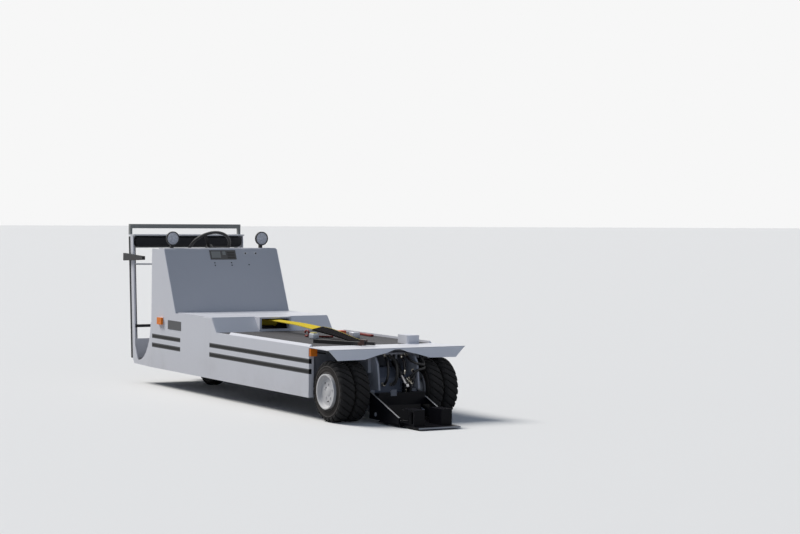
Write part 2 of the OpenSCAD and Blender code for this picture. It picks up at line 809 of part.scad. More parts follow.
// Inner wheel: dished centre between two flanges
module inner_wheel(face) {
    r = rim_d / 2;
    rotate_extrude() polygon([
        [0, face], [hub_d / 2, face], [r - 26, face - 2], [r - 18, tyre_w / 2 - 4], [r, tyre_w / 2],
        [r, tyre_w / 2 - 8], [r - 10, tyre_w / 2 - 14], [r - 10, -tyre_w / 2 + 14], [r, -tyre_w / 2 + 8],
        [r, -tyre_w / 2], [r - 18, -tyre_w / 2 + 4], [r - 26, face - 14], [0, face - 14]
    ]);
}

// Outer wheel: a flat disc set into a barrel that stands out of the tyre
disc_face = tyre_w / 2 + lip_out - 26;
module outer_wheel() {
    r = rim_d / 2;
    lip = tyre_w / 2 + lip_out;
    rotate_extrude() polygon([
        [0, disc_face], [r - 26, disc_face], [r - 17, disc_face + 5], [r - 10, lip - 4], [r - 7, lip], [r, lip],
        [r, tyre_w / 2 - 8], [r - 10, tyre_w / 2 - 14], [r - 10, -tyre_w / 2 + 14], [r, -tyre_w / 2 + 8],
        [r, -tyre_w / 2], [r - 18, -tyre_w / 2 + 4], [r - 20, disc_face - 20], [r - 32, disc_face - 14],
        [0, disc_face - 14]
    ]);
}

// Twin wheels and the hub that joins them
twin_mid = [track_half - tyre_w / 2, track_half - 1.5 * tyre_w - twin_gap];
module wheels() {
    hub_out = twin_mid[0] + disc_face - 10;
    translate([0, -twin_mid[0], axle_z]) rotate([90, 0, 0]) outer_wheel();
    difference() {
        translate([0, -twin_mid[1], axle_z]) rotate([90, 0, 0]) inner_wheel(6);
        y_cylinder([0, -twin_mid[1], axle_z], hub_d, 60);
    }
    difference() {
        y_cylinder([0, -(hub_out + axle_end_y + 2) / 2, axle_z], hub_d, hub_out - axle_end_y - 2);
        y_cylinder([0, -axle_end_y - spigot_len / 2, axle_z], spigot_d, spigot_len + 2);
    }
}

module tyres() {
    for (m = twin_mid) {
        translate([0, -m, axle_z]) rotate([90, 0, 0]) tyre(tyre_d, tyre_w, rim_d);
    }
}

// Tyre outline out to its lugs' tips, closed on the rim
module tyre(d, w, bead) {
    r = d / 2;
    b = bead / 2 - 10 + fit;
    rotate_extrude() polygon([
        [b, -w / 2 + 14.5], [bead / 2 + fit, -w / 2 + 8.5], [bead / 2 + 8, -w / 2 + 2], [r - 40, -w / 2],
        [r - 14, -w / 2 + 6], [r - 2, -w / 2 + 16], [r, 0], [r - 2, w / 2 - 16], [r - 14, w / 2 - 6],
        [r - 40, w / 2], [bead / 2 + 8, w / 2 - 2], [bead / 2 + fit, w / 2 - 8.5], [b, w / 2 - 14.5]
    ]);
}

module wheels_right() {
    color(c_rim) at_axle() wheels();
}

module tyres_right() {
    color(c_tyre) at_axle() tyres();
}

module wheels_left() {
    color(c_rim) at_axle() mirror([0, 1, 0]) wheels();
}

module tyres_left() {
    color(c_tyre) at_axle() mirror([0, 1, 0]) tyres();
}

// Steered wheel: fork, rim and tyre under the console
fork_in = steer_tyre_w / 2 + 12;
fork_t = 14;
steer_rim_d = 210;
module steer_fork() {
    color(c_dark) at_axle() translate([steer_x, 0, 0]) {
        translate([0, 0, head_z - 22]) cylinder(d = 150, h = 20);
        translate([0, 0, head_z - 10]) cylinder(d = head_bore - 2 * fit, h = 70);
        difference() {
            both_sides() {
                translate([0, -fork_in, 0]) rotate([90, 0, 0]) linear_extrude(fork_t) hull() {
                    translate([0, steer_z]) circle(d = 64);
                    translate([-50, head_z - 24]) square([100, 10]);
                }
            }
            y_cylinder([0, 0, steer_z], 30, 400);
        }
        block([-60, -fork_in - fork_t, head_z - 22], [60, fork_in + fork_t, head_z - 10]);
    }
}

module steer_rim() {
    color(c_rim) at_axle() translate([steer_x, 0, steer_z]) rotate([90, 0, 0]) {
        rotate_extrude() polygon([
            [0, -steer_tyre_w / 2 + 20], [60, -steer_tyre_w / 2 + 20], [84, -steer_tyre_w / 2 + 4],
            [105, -steer_tyre_w / 2], [105, -steer_tyre_w / 2 + 8], [95, -steer_tyre_w / 2 + 14],
            [95, steer_tyre_w / 2 - 14], [105, steer_tyre_w / 2 - 8], [105, steer_tyre_w / 2],
            [84, steer_tyre_w / 2 - 4], [60, steer_tyre_w / 2 - 20], [0, steer_tyre_w / 2 - 20]
        ]);
        cylinder(d = 30 - 2 * fit, h = 2 * (fork_in + fork_t), center = true);
        cylinder(d = 70, h = 2 * fork_in - 4, center = true);
    }
}

module steer_tyre() {
    color(c_tyre) at_axle() translate([steer_x, 0, steer_z]) rotate([90, 0, 0])
        tyre(steer_tyre_d, steer_tyre_w, steer_rim_d);
}

// Cradle: wedge plates on the pivot, cross beam, lift lug, scoop
module cradle_frame() {
    color(c_black) at_axle() difference() {
        union() {
            both_sides() long_plate(-wedge_in - wedge_t, wedge_t) polygon([
                [wedge_back, cradle_low + 7], [wedge_back, beam_top + 3], [wedge_nose, cradle_low + 47],
                [wedge_nose, cradle_low + 7]
            ]);
            block([cradle_back, -wedge_in, beam_top - beam_h], [cradle_back + 60, wedge_in, beam_top]);
            for (s = [-1, 1]) {
                block([lug_x - 18, lift_y + s * ear_y - ear_t / 2, beam_top - 10],
                    [lug_x + 18, lift_y + s * ear_y + ear_t / 2, lug_z + 18]);
            }
            y_cylinder([lug_x, lift_y, lug_z], pin_d - 2 * fit, 2 * ear_y + ear_t);
            both_sides() block([scoop_rear + 20, -wedge_in - 1, cradle_low],
                [wedge_nose, -scoop_half, cradle_low + 16]);
            block([lug_x + 24, -92, beam_top - 20], [lug_x + 44, -48, beam_top + 22]);
        }
        both_sides() y_cylinder([pivot_x, -wedge_in - wedge_t / 2, pivot_z], pivot_d + 2 * fit, wedge_t + 2);
    }
}

// Scoop: floor plate and a guide housing on each side, open outward round its upright roller
module cradle_scoop() {
    guide_x = lip_reach - 242;
    guide_len = 154;
    guide_out = scoop_half - 14;
    guide_top = lip_clear + guide_h;
    wall = 12;
    color(c_black) at_axle() {
        block([scoop_rear, -wedge_in, lip_clear], [wedge_nose, wedge_in, cradle_low]);
        block([scoop_rear, -scoop_half, lip_clear], [lip_reach, scoop_half, cradle_low]);
        both_sides() {
            difference() {
                block([guide_x, -guide_out, cradle_low], [guide_x + guide_len, -guide_out + guide_w, guide_top]);
                block([guide_x - 1, -guide_out - 1, cradle_low + wall],
                    [guide_x + guide_len - wall, -guide_out + guide_w - wall, guide_top - wall]);
            }
            translate([guide_x + 84, -guide_out + 22, cradle_low]) cylinder(d = 30, h = guide_top - cradle_low - 1);
        }
    }
}

// Lift cylinder on its own axis, from the upper anchor to the lug
module on_lift() {
    translate([anchor_x, lift_y, anchor_z]) rotate([0, 90 + lift_angle, 0]) children();
}

barrel_len = lift_len - 92;
neck = 38;
module lift_barrel() {
    color(c_black) at_axle() on_lift() difference() {
        union() {
            rotate([90, 0, 0]) cylinder(d = eye_d, h = eye_w, center = true);
            cylinder(d = eye_w, h = neck);
            translate([0, 0, neck]) cylinder(d = barrel_d, h = barrel_len - neck);
        }
        rotate([90, 0, 0]) cylinder(d = pin_d, h = eye_w + 2, center = true);
        translate([0, 0, barrel_len - 100]) cylinder(d = rod_d + 2 * fit, h = 101);
    }
}

module lift_rod() {
    color(c_chrome) at_axle() on_lift() difference() {
        union() {
            translate([0, 0, barrel_len - 60]) cylinder(d = rod_d, h = lift_len - barrel_len + 60 - 12);
            translate([0, 0, lift_len]) rotate([90, 0, 0]) cylinder(d = eye_d, h = eye_w, center = true);
        }
        translate([0, 0, lift_len]) rotate([90, 0, 0])
            cylinder(d = pin_d + 2 * eye_play, h = eye_w + 2, center = true);
    }
}

// Lift valve on the gearbox's front face
module hydraulic_valve() {
    color(c_dark) at_axle() {
        block([46, horn_in - 64, axle_z + 20], [76, horn_in - 20, axle_z + 80]);
        translate([61, horn_in - 42, axle_z + 80]) cylinder(d = 18, h = 26);
    }
}

// Towing jaw with its pin bore at the rear
jaw_t = 14;
module tow_hitch() {
    x = post_x(sill_z + 90) - 4;
    pin_x = rail_x - rail_t / 2 - 20;
    low = sill_z + 60;
    color(c_dark) at_axle() difference() {
        union() {
            for (z = [low, low + hitch_gap + jaw_t]) {
                block([pin_x - 24, -40, z], [x + 30, 40, z + jaw_t]);
            }
            block([x - 40, -62, low - 12], [x + 30, 62, low + hitch_gap + 2 * jaw_t + 12]);
        }
        translate([pin_x, 0, sill_z]) cylinder(d = hitch_pin_d + 1, h = 200);
        long_plate(-100, 200) polygon([
            [post_x(sill_z) + sheet_t - seat, sill_z], [post_x(post_z) + sheet_t - seat, post_z],
            [post_x(sill_z) + 60, post_z], [post_x(sill_z) + 60, sill_z]
        ]);
    }
}

chassis_frame();
side_panel_right();
side_panel_left();
deck_plate();
front_fender();
strap_bar();
console_shell();
dash_panel();
bay_cover();
battery_lid();
battery_pack();
rear_corner_right();
rear_corner_left();
rear_panel();
operator_floor();
rear_rail();
corner_bumpers();
lower_bar();
backrest_pad();
side_arms();
pedals();
headlamp_shells();
headlamp_lenses();
marker_lamps();
steering_column();
steering_wheel();
winch_frame();
winch_drum();
winch_strap();
strap_sleeve();
drive_axle();
drive_motor();
wheels_right();
tyres_right();
wheels_left();
tyres_left();
steer_fork();
steer_rim();
steer_tyre();
cradle_frame();
cradle_scoop();
lift_barrel();
lift_rod();
hydraulic_valve();
tow_hitch();
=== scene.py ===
"""Dresses an aircraft pushback tractor: tyres, wheels, fastenings, strap, hoses, controls, pad and finishes."""

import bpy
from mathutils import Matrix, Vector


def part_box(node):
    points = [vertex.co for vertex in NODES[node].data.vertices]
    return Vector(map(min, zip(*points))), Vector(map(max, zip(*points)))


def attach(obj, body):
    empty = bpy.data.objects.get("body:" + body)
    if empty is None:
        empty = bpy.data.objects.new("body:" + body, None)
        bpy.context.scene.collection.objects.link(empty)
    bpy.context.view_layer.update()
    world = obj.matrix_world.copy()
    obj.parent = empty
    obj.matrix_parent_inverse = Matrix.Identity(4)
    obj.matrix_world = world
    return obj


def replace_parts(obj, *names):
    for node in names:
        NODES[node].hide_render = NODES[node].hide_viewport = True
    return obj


bl_info = {
    "name": "Pushback Tractor Dressing",
    "version": (1, 0, 0),
    "blender": (4, 5, 0),
    "location": "3D View > Sidebar > Tug",
    "description": "Builds the tyres, trim, soft parts, finishes and studio of an aircraft pushback tractor",
    "category": "Object",
}

from math import atan, cos, pi, radians, sin

import bmesh
import bpy
from bpy.props import FloatProperty, FloatVectorProperty, IntProperty, PointerProperty
from bpy.types import Operator, Panel, PropertyGroup
from mathutils import Matrix, Vector

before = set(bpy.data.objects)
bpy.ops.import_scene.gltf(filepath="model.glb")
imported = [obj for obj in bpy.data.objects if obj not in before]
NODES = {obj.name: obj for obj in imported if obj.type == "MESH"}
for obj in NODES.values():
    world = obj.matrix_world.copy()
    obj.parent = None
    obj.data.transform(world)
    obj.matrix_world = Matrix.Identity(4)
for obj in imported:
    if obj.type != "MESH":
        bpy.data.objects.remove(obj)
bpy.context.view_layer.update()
AXLE_X = sum(corner.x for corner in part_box("wheels_right")) / 2
MATERIALS = {}

# Places in millimetres from the drive axle
DRIVE_Z, STEER_X, STEER_Z = 210, -2700, 190
TYRE_MIDDLES = (416, 296)
WHEEL_FACE = 460
SIDES = ((-1, "right"), (1, "left"))
CONSOLE_LEAN = 0.46


# Settings
def colour_setting(name, about, default):
    return FloatVectorProperty(name=name, description=about, subtype="COLOR", default=default, min=0, max=1)


def length_setting(name, about, default, low, high):
    return FloatProperty(name=name, description=about, default=default, min=low, max=high, unit="LENGTH",
                         subtype="DISTANCE")


class TugPaintSettings(PropertyGroup):
    white: colour_setting("Body white", "Colour of the bodywork", (0.66, 0.66, 0.69))
    amber: colour_setting("Amber", "Colour of the marker lamps", (0.9, 0.23, 0.02))
    webbing: colour_setting("Webbing", "Colour of the winch strap", (0.88, 0.66, 0.06))
    dust: FloatProperty(name="Road dust", description="Share of dust that lies on tyres and low bodywork",
                        default=0.5, min=0, max=1, subtype="FACTOR")


class TugTyreSettings(PropertyGroup):
    lugs: IntProperty(name="Lugs", description="Tread blocks round one tyre", default=25, min=12, max=60)
    groove: length_setting("Groove depth", "Depth of the tread", 0.011, 0.002, 0.02)


class TugTrimSettings(PropertyGroup):
    hose: length_setting("Hose radius", "Radius of the hydraulic hoses", 0.009, 0.004, 0.014)
    crown: length_setting("Pad crown", "How far the backrest pad may swell", 0.006, 0.0, 0.012)


# Nodes
def sign(operation):
    """A method that joins two values by a Math node."""
    return lambda self, other: self.net.math(operation, self, other)


class Wire:
    """A node output that can be reckoned with; each sign adds a Math node."""

    def __init__(self, net, socket):
        self.net, self.socket = net, socket

    __add__, __sub__, __mul__ = sign("ADD"), sign("SUBTRACT"), sign("MULTIPLY")
    __truediv__, __gt__, __lt__ = sign("DIVIDE"), sign("GREATER_THAN"), sign("LESS_THAN")


class Net:
    """Short calls that build a node tree."""

    def __init__(self, tree):
        self.tree, self.shader, self.colour = tree, tree.nodes.get("Principled BSDF"), None
        self.coordinates = None

    def put(self, target, value):
        """Sets an input, or links a wire to it."""
        if isinstance(value, Wire):
            self.tree.links.new(value.socket, target)
        else:
            target.default_value = (*value, 1) if target.type == "RGBA" else value

    def out(self, kind, output=0, **values):
        """Adds a node of the tree's family and gives an output; capitalised names are inputs, the others its own."""
        node = self.tree.nodes.new(kind if "Node" in kind else self.tree.bl_idname.replace("Tree", kind))
        for key, value in values.items():
            if key[0].isupper():
                self.put(node.inputs[key.replace("_", " ")], value)
            else:
                setattr(node, key, value)
        return Wire(self, node.outputs[output])

    def math(self, operation, *values):
        node = self.tree.nodes.new("ShaderNodeMath")
        node.operation = operation
        for socket, value in zip(node.inputs, values):
            self.put(socket, value)
        return Wire(self, node.outputs[0])

    def sine(self, value):
        return self.math("SINE", value)

    def mix(self, factor, first, second, blend="MIX"):
        node = self.tree.nodes.new("ShaderNodeMix")
        node.data_type, node.blend_type = "RGBA", blend
        for index, value in ((0, factor), (6, first), (7, second)):
            self.put(node.inputs[index], value)
        return Wire(self, node.outputs[2])

    def where(self):
        """The Object coordinates."""
        if not self.coordinates:
            self.coordinates = self.out("TexCoord", "Object")
        return self.coordinates

    def xyz(self):
        outputs = self.out("SeparateXYZ", Vector=self.where()).socket.node.outputs
        return [Wire(self, socket) for socket in outputs]

    def stretched(self, scale):
        return self.out("Mapping", Vector=self.where(), Scale=scale)

    def noise(self, scale, detail=4.0, rough=0.55, vector=None):
        return self.out("TexNoise", "Fac", Vector=vector or self.where(), Scale=scale, Detail=detail,
                        Roughness=rough)

    def cells(self, scale, feature="F1"):
        return self.out("TexVoronoi", "Distance", feature=feature, Vector=self.where(), Scale=scale)

    def smooth(self, value, low, high):
        return self.out("MapRange", interpolation_type="SMOOTHSTEP", Value=value, From_Min=low,
                        From_Max=high)

    def ramp(self, value, stops):
        """A colour ramp of (place, colour) stops."""
        node = self.tree.nodes.new("ShaderNodeValToRGB")
        elements = node.color_ramp.elements
        while len(elements) < len(stops):
            elements.new(0.5)
        for element, (place, colour) in zip(elements, stops):
            element.position, element.color = place, (*colour, 1)
        self.put(node.inputs[0], value)
        return Wire(self, node.outputs[0])

    def group(self, name, **values):
        """Places a shared group and gives its outputs by name."""
        outputs = self.out("Group", node_tree=bpy.data.node_groups[name], **values).socket.node.outputs
        return {socket.name: Wire(self, socket) for socket in outputs}

    def band(self, value, low, high, edge):
        """1 between two values and 0 outside, with soft edges."""
        return self.group("Band", Value=value, Low=low, High=high, Edge=edge)["Mask"]

    def base(self, colour):
        self.put(self.shader.inputs["Base Color"], colour)

    def bump(self, height, strength, distance):
        self.put(self.shader.inputs["Normal"], self.out("Bump", Strength=strength, Distance=distance,
                                                        Height=height))

    def seen(self):
        """1 for the rays by which the eye sees a thing, straight or in a mirror."""
        camera, glossy, through = (self.out("LightPath", f"Is {kind} Ray")
                                   for kind in ("Camera", "Glossy", "Transmission"))
        return self.math("MAXIMUM", camera, self.math("MAXIMUM", glossy, through))


def shader_group(name, inputs, outputs=("Height", "Tone")):
    """An empty shader group: its net, its inputs as wires and a function that fills its outputs."""
    tree = bpy.data.node_groups.new(name, "ShaderNodeTree")
    for label, default in inputs.items():
        colour = isinstance(default, tuple)
        socket = tree.interface.new_socket(name=label, in_out="INPUT",
                                           socket_type="NodeSocketColor" if colour else "NodeSocketFloat")
        socket.default_value = (*default, 1) if colour else default
    for label in outputs:
        tree.interface.new_socket(name=label, in_out="OUTPUT",
                                  socket_type="NodeSocketColor" if label == "Colour" else "NodeSocketFloat")
    net = Net(tree)
    source, sink = tree.nodes.new("NodeGroupInput"), tree.nodes.new("NodeGroupOutput")

    def give(**values):
        for label, value in values.items():
            net.put(sink.inputs[label], value)

    return net, [Wire(net, source.outputs[label]) for label in inputs], give


def make_effects():
    """The node groups that several finishes share."""
    net, (colour, dirt, scale, dust, bottom, top), give = shader_group(
        "Worn Paint", dict(Colour=(0.7, 0.7, 0.7), Dirt=(0.2, 0.17, 0.14), Scale=3.0, Dust=0.3, Low=0.1, High=0.5),
        ("Colour", "Gloss", "Height"))
    cloud = net.noise(scale, 6.0, 0.6)
    fine = net.noise(60.0, 3.0)
    streak = net.noise(2.2, 5.0, vector=net.stretched((14.0, 14.0, 1.2)))
    low = net.smooth(net.xyz()[2], top, bottom)
    patch = net.smooth(cloud, 0.42, 0.78)
    spots = net.smooth(fine, 0.66, 0.74)
    grime = (low * 0.7 + 0.18) * (patch * 0.7 + 0.3) + net.smooth(streak, 0.5, 0.85) * 0.1 + spots * 0.1
    grime = grime * dust
    toned = net.mix(1.0, colour, cloud * 0.1 + 0.95, "MULTIPLY")
    give(Colour=net.mix(grime, toned, dirt), Gloss=grime * 0.6 + fine * 0.08, Height=spots * 0.4 + fine * 0.25)

    net, (value, low, high, edge), give = shader_group(
        "Band", dict(Value=0.0, Low=0.0, High=1.0, Edge=0.002), ("Mask",))
    give(Mask=net.smooth(value, low, low + edge) * net.smooth(value, high, high - edge))

    net, (along, across), give = shader_group("Weave", dict(Along=400.0, Across=400.0))
    x, y, _ = net.xyz()
    woven = net.sine(x * along) * net.sine(y * across) * 0.5 + 0.5
    give(Height=woven, Tone=woven * 0.35 + net.noise(40.0) * 0.5)

    net, (scale,), give = shader_group("Grip Coat", dict(Scale=260.0))
    grain = net.smooth(net.cells(scale), 0.75, 0.1)
    scuff = net.noise(5.0, 7.0, 0.65, net.stretched((0.7, 3.0, 1.0)))
    give(Height=grain, Tone=grain * 0.35 + net.smooth(scuff, 0.3, 0.8))

    net, (scale,), give = shader_group("Grain", dict(Scale=420.0))
    give(Height=net.smooth(net.cells(scale, "DISTANCE_TO_EDGE"), 0.0, 0.25), Tone=net.noise(9.0, 5.0))


# Finishes
def begin(name, rough=0.5, shine=None, **constants):
    """A new material; its constants stand on the Principled shader's own sockets."""
    material = bpy.data.materials.new(name)
    material.use_nodes = True
    MATERIALS[name] = material
    net = Net(material.node_tree)
    constants["Roughness"] = rough
    if shine is not None:
        constants["Specular IOR Level"] = shine
    for key, value in constants.items():
        net.shader.inputs[key.replace("_", " ")].default_value = value
    return net


def worn(name, colour, rough=0.35, dust=0.3, dirt=(0.2, 0.17, 0.14), scale=3.0, low=0.05, high=0.5, bumpy=0.15,
         **constants):
    """Paint or plastic with faint clouds, streaks and dust that thickens towards the floor."""
    net = begin(name, rough, **constants)
    effect = net.group("Worn Paint", Colour=colour, Dirt=dirt, Scale=scale, Dust=dust, Low=low, High=high)
    net.colour = effect["Colour"]
    net.base(net.colour)
    net.put(net.shader.inputs["Roughness"], effect["Gloss"] + rough)
    net.bump(effect["Height"], bumpy, 0.0006)
    return net


def share(colour, part):
    return tuple(part * value for value in colour)


def make_stripes(net):
    """Two dark bands along a side panel, broken where the panel stays bare; their paler edges are painted highlight,
    the light on a rounded moulding.
    """
    x, y, z = net.xyz()
    across, side_face, nose = net.math("ABSOLUTE", y), 0.4995, AXLE_X - 0.2055
    front = x > nose
    spans = [net.band(x, AXLE_X + low, AXLE_X + high, 0.002) for low, high in ((-2.785, -2.262), (-1.755, -0.165))]
    shown = net.math("MAXIMUM", net.math("MAXIMUM", *spans) * (across > side_face),
                     front * net.band(across, 0.478, 0.503, 0.001))
    colour = net.colour
    for low, high in ((0.3835, 0.4195), (0.312, 0.349)):
        # The ramp's grey edges and black core are painted highlight and shade of a rounded moulding.
        soft = net.ramp((z - low) / (high - low), (
            (0.0, (0.14, 0.14, 0.145)), (0.26, (0.012, 0.012, 0.012)), (0.66, (0.008, 0.008, 0.008)),
            (1.0, (0.16, 0.16, 0.165))))
        dark = net.mix(front, soft, (0.006, 0.006, 0.007))
        colour = net.mix(net.band(z, low, high, 0.0015) * shown, colour, dark)
    net.base(colour)


def make_cradle_black(dust):
    """Black enamel with scuffs, one bare grey lug and a pale grey front edge."""
    net = worn("Cradle Black", (0.005, 0.005, 0.007), 0.24, dust * 0.12, (0.05, 0.044, 0.038), 7.0, 0.0, 0.3,
               shine=0.08)
    x, y, z = net.xyz()
    scuff = net.smooth(net.noise(16.0, 6.0, 0.7, net.stretched((1.0, 1.0, 6.0))), 0.6, 0.72)
    colour = net.mix(scuff * 0.13, net.colour, (0.075, 0.066, 0.06))
    lug = (z > 0.185) * net.band(x, AXLE_X + 0.2, AXLE_X + 0.222, 0.0005) * net.band(y, -0.094, -0.046, 0.0005)
    colour = net.mix(lug, colour, (0.2, 0.2, 0.22))
    lip = AXLE_X + 0.6985
    net.base(net.mix(x > lip, colour, (0.42, 0.42, 0.43)))


def make_paints(white, dust):
    """The body's whites and blacks, and the metals and plastics of the trim."""
    worn("Body White", white, 0.34, dust * 0.55, shine=0.3)
    net = worn("Fender White", white, 0.34, dust * 0.5, shine=0.3)
    # The fascia below fascia_top is painted paler than the rest of the fender: painted light, standing in for the
    # bounce light on the front face.
    fascia_top = 0.5025
    pale = tuple(min(1.0, value) for value in share(white, 1.28))
    net.base(net.mix((net.xyz()[2] < fascia_top) * 0.9, net.colour, pale))
    # The console takes the body white darkened to 0.8: painted shade for its shaded front.
    worn("Console White Painted Shade", share(white, 0.8), 0.36, dust * 0.5, shine=0.2)
    make_stripes(worn("Striped White", white, 0.34, dust * 0.6, shine=0.12))
    worn("Frame Grey", (0.055, 0.057, 0.065), 0.5, dust * 1.2, (0.16, 0.14, 0.12), 5.0)
    # The frame and horns are white paint given as dark grey: painted shade for their place deep under the body.
    worn("Horn White In Painted Shade", (0.3, 0.31, 0.35), 0.42, dust * 0.9)
    worn("Satin Black", (0.009, 0.009, 0.011), 0.36, dust * 0.25, (0.07, 0.065, 0.06), 6.0, shine=0.3)
    worn("Gear Housing", (0.12, 0.135, 0.18), 0.5, dust, (0.05, 0.05, 0.05), 9.0, bumpy=0.6)
    worn("Motor Black", (0.02, 0.02, 0.022), 0.55, dust, (0.12, 0.11, 0.1), 6.0)
    # The wheel paint is a neutral grey darker than cream: painted shade, the discs lying in the fender's shadow.
    worn("Wheel Cream", (0.56, 0.55, 0.55), 0.4, dust * 0.9, (0.22, 0.19, 0.17), 9.0, 0.0, 0.35)
    # The rim lip is a paler copy of the wheel paint: painted highlight on the lip.
    worn("Rim Lip", (0.78, 0.77, 0.74), 0.25, dust * 0.2, (0.3, 0.27, 0.24), 20.0)
    worn("Hook Red", (0.2, 0.018, 0.012), 0.45, dust * 0.6, (0.08, 0.05, 0.04), 14.0)
    worn("Latch Yellow", (0.55, 0.47, 0.12), 0.5, dust * 0.6, (0.2, 0.17, 0.12), 14.0)
    # Bright steel for the cradle's edge strips: painted highlight on their chamfers.
    worn("Worn Steel", (0.5, 0.5, 0.51), 0.34, dust * 0.5, (0.1, 0.09, 0.08), 40.0, Metallic=0.7)
    worn("Zinc Bolt", (0.42, 0.42, 0.43), 0.35, dust * 0.6, (0.12, 0.1, 0.08), 30.0, Metallic=0.9)
    worn("Brass Fitting", (0.52, 0.49, 0.42), 0.22, dust * 0.3, (0.12, 0.1, 0.08), 30.0, Metallic=1.0)
    # The chrome is dimmed to 0.4: painted shade, the lift rod standing in shade.
    worn("Chrome Rod", (0.4, 0.4, 0.42), 0.22, dust * 0.2, Metallic=1.0)
    worn("Black Plastic", (0.012, 0.012, 0.013), 0.45, dust * 0.2, (0.1, 0.09, 0.085), 20.0, shine=0.35)
    worn("Orange Plastic", (0.62, 0.09, 0.02), 0.4, dust * 0.2, (0.1, 0.07, 0.05), 20.0)
    worn("Silver Paint", (0.5, 0.52, 0.56), 0.35, dust * 0.4, (0.15, 0.13, 0.11), 20.0, Metallic=0.3)
    worn("Blank Plate", (0.035, 0.036, 0.04), 0.3, dust * 0.2, (0.12, 0.11, 0.1), 20.0)
    worn("Bumper Rubber", (0.012, 0.012, 0.013), 0.7, dust * 0.6, (0.1, 0.09, 0.085), 12.0, shine=0.3)
    # Paler rubber on two wall ribs: painted highlight where the raised ribs catch the light.
    worn("Wall Ring", (0.11, 0.105, 0.1), 0.8, dust, (0.16, 0.145, 0.13), 14.0, shine=0.3)
    net = worn("Rail Steel", (0.21, 0.215, 0.205), 0.45, dust * 0.5, (0.1, 0.09, 0.08), 8.0, shine=0.4)
    z = net.xyz()[2]
    # Pale bands on the tops of the top rail and the mid bar: painted highlight where light falls on the round rails.
    pale = net.math("MAXIMUM", net.band(z, 1.184, 1.198, 0.001), net.band(z, 0.951, 0.963, 0.0005))
    net.base(net.mix(pale, net.colour, (0.58, 0.58, 0.59)))
    net = worn("Hook Bar", (0.009, 0.009, 0.011), 0.36, dust * 0.2, (0.08, 0.07, 0.065), 6.0, shine=0.3)
    joint = net.band(net.xyz()[0], AXLE_X - 0.175, AXLE_X - 0.118, 0.004)
    net.base(net.mix(joint, net.colour, (0.05, 0.022, 0.016)))
    make_cradle_black(dust)


def toned(name, rough, shine, kind, values, dark, pale, strength, depth):
    """A finish between two colours by a shared group's tone, with the same group's relief."""
    net = begin(name, rough, shine)
    effect = net.group(kind, **values)
    net.base(net.mix(effect["Tone"], dark, pale))
    net.bump(effect["Height"], strength, depth)


def make_coats(webbing, amber, dust):
    """Grip coats, rubbers, woven stuff, vinyl and lamp glass."""
    for name, tint in (("Grip Deck", (0.034, 0.033, 0.038)), ("Grip Floor", (0.12, 0.12, 0.125))):
        toned(name, 0.75, None, "Grip Coat", dict(Scale=230.0), share(tint, 0.55), share(tint, 1.25), 0.6, 0.0012)
    for name, rough, shine, colour, dirt, scale, much in (
            ("Tyre Rubber", 0.85, 0.25, (0.008, 0.008, 0.009), (0.06, 0.055, 0.05), 12.0, dust * 0.5),
            ("Tyre Wall", 0.8, 0.15, (0.016, 0.014, 0.0135), (0.09, 0.078, 0.07), 14.0, min(1.0, dust * 1.2))):
        net = begin(name, rough, shine)
        effect = net.group("Worn Paint", Colour=colour, Dirt=dirt, Scale=scale, Dust=much, Low=-1.0, High=2.0)
        net.base(effect["Colour"])
        net.bump(effect["Height"], 0.4, 0.0008)
    for name, tint, along, across in (("Webbing", webbing, 2600.0, 1500.0),
                                      ("Sleeve Weave", (0.007, 0.006, 0.007), 1300.0, 900.0)):
        toned(name, 0.85, 0.04, "Weave", dict(Along=along, Across=across), share(tint, 0.6), tint, 0.5, 0.0008)
    toned("Pad Vinyl", 0.5, 0.15, "Grain", dict(Scale=520.0), (0.006, 0.006, 0.008), (0.015, 0.016, 0.019), 0.35,
          0.0006)
    for name, dark, pale in (("Yellow Stitch", (0.02, 0.018, 0.012), (0.8, 0.62, 0.1)),
                             ("Dark Thread", (0.24, 0.17, 0.01), (0.62, 0.47, 0.03))):
        net = begin(name, 0.7)
        dash = net.smooth(net.sine(net.xyz()[0] * 460.0), -0.75, -0.35)
        net.base(net.mix(dash, dark, pale))
        net.bump(dash, 0.5, 0.0008)

    net = begin("Amber Lens", 0.3, 0.12)
    x, y, z = net.xyz()
    both = (net.sine(z * 900.0) + net.sine((x + y) * 900.0)) * 0.25 + 0.5
    net.base(net.mix(both, share(amber, 0.8), amber))
    net.bump(both, 0.4, 0.0008)

    net = begin("Lamp Glass", 0.12, Coat_Weight=0.5)
    ribs = net.sine(net.xyz()[1] * 700.0)
    mottled = net.smooth(ribs * 0.2 + net.noise(60.0, 3.0), 0.2, 0.9)
    net.base(net.mix(mottled, (0.34, 0.35, 0.39), (0.66, 0.67, 0.72)))
    net.bump(ribs, 0.3, 0.0008)


def dress(node, name):
    """Gives a carried node one finish."""
    thing = NODES[node]
    if not thing.material_slots:
        thing.data.materials.append(MATERIALS[name])
    for slot in thing.material_slots:
        slot.material = MATERIALS[name]


# Mesh helpers
def ax(x, y, z):
    """A place given from the drive axle, in millimetres, in the frame's metres."""
    return Vector((AXLE_X + x / 1000, y / 1000, z / 1000))


def put_down(name, mesh, body="vehicle", angle=None):
    """Adds a mesh to the scene, smooth up to an angle, and rides it on a body if one is named."""
    if angle:
        mesh.shade_smooth()
        mesh.set_sharp_from_angle(angle=radians(angle))
    thing = bpy.data.objects.new(name, mesh)
    bpy.context.scene.collection.objects.link(thing)
    if body:
        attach(thing, body)
    return thing


def plain_mesh(name, vertices, faces, *materials):
    mesh = bpy.data.meshes.new(name)
    mesh.from_pydata([tuple(v) for v in vertices], [], faces)
    for material in materials:
        mesh.materials.append(MATERIALS[material])
    return mesh


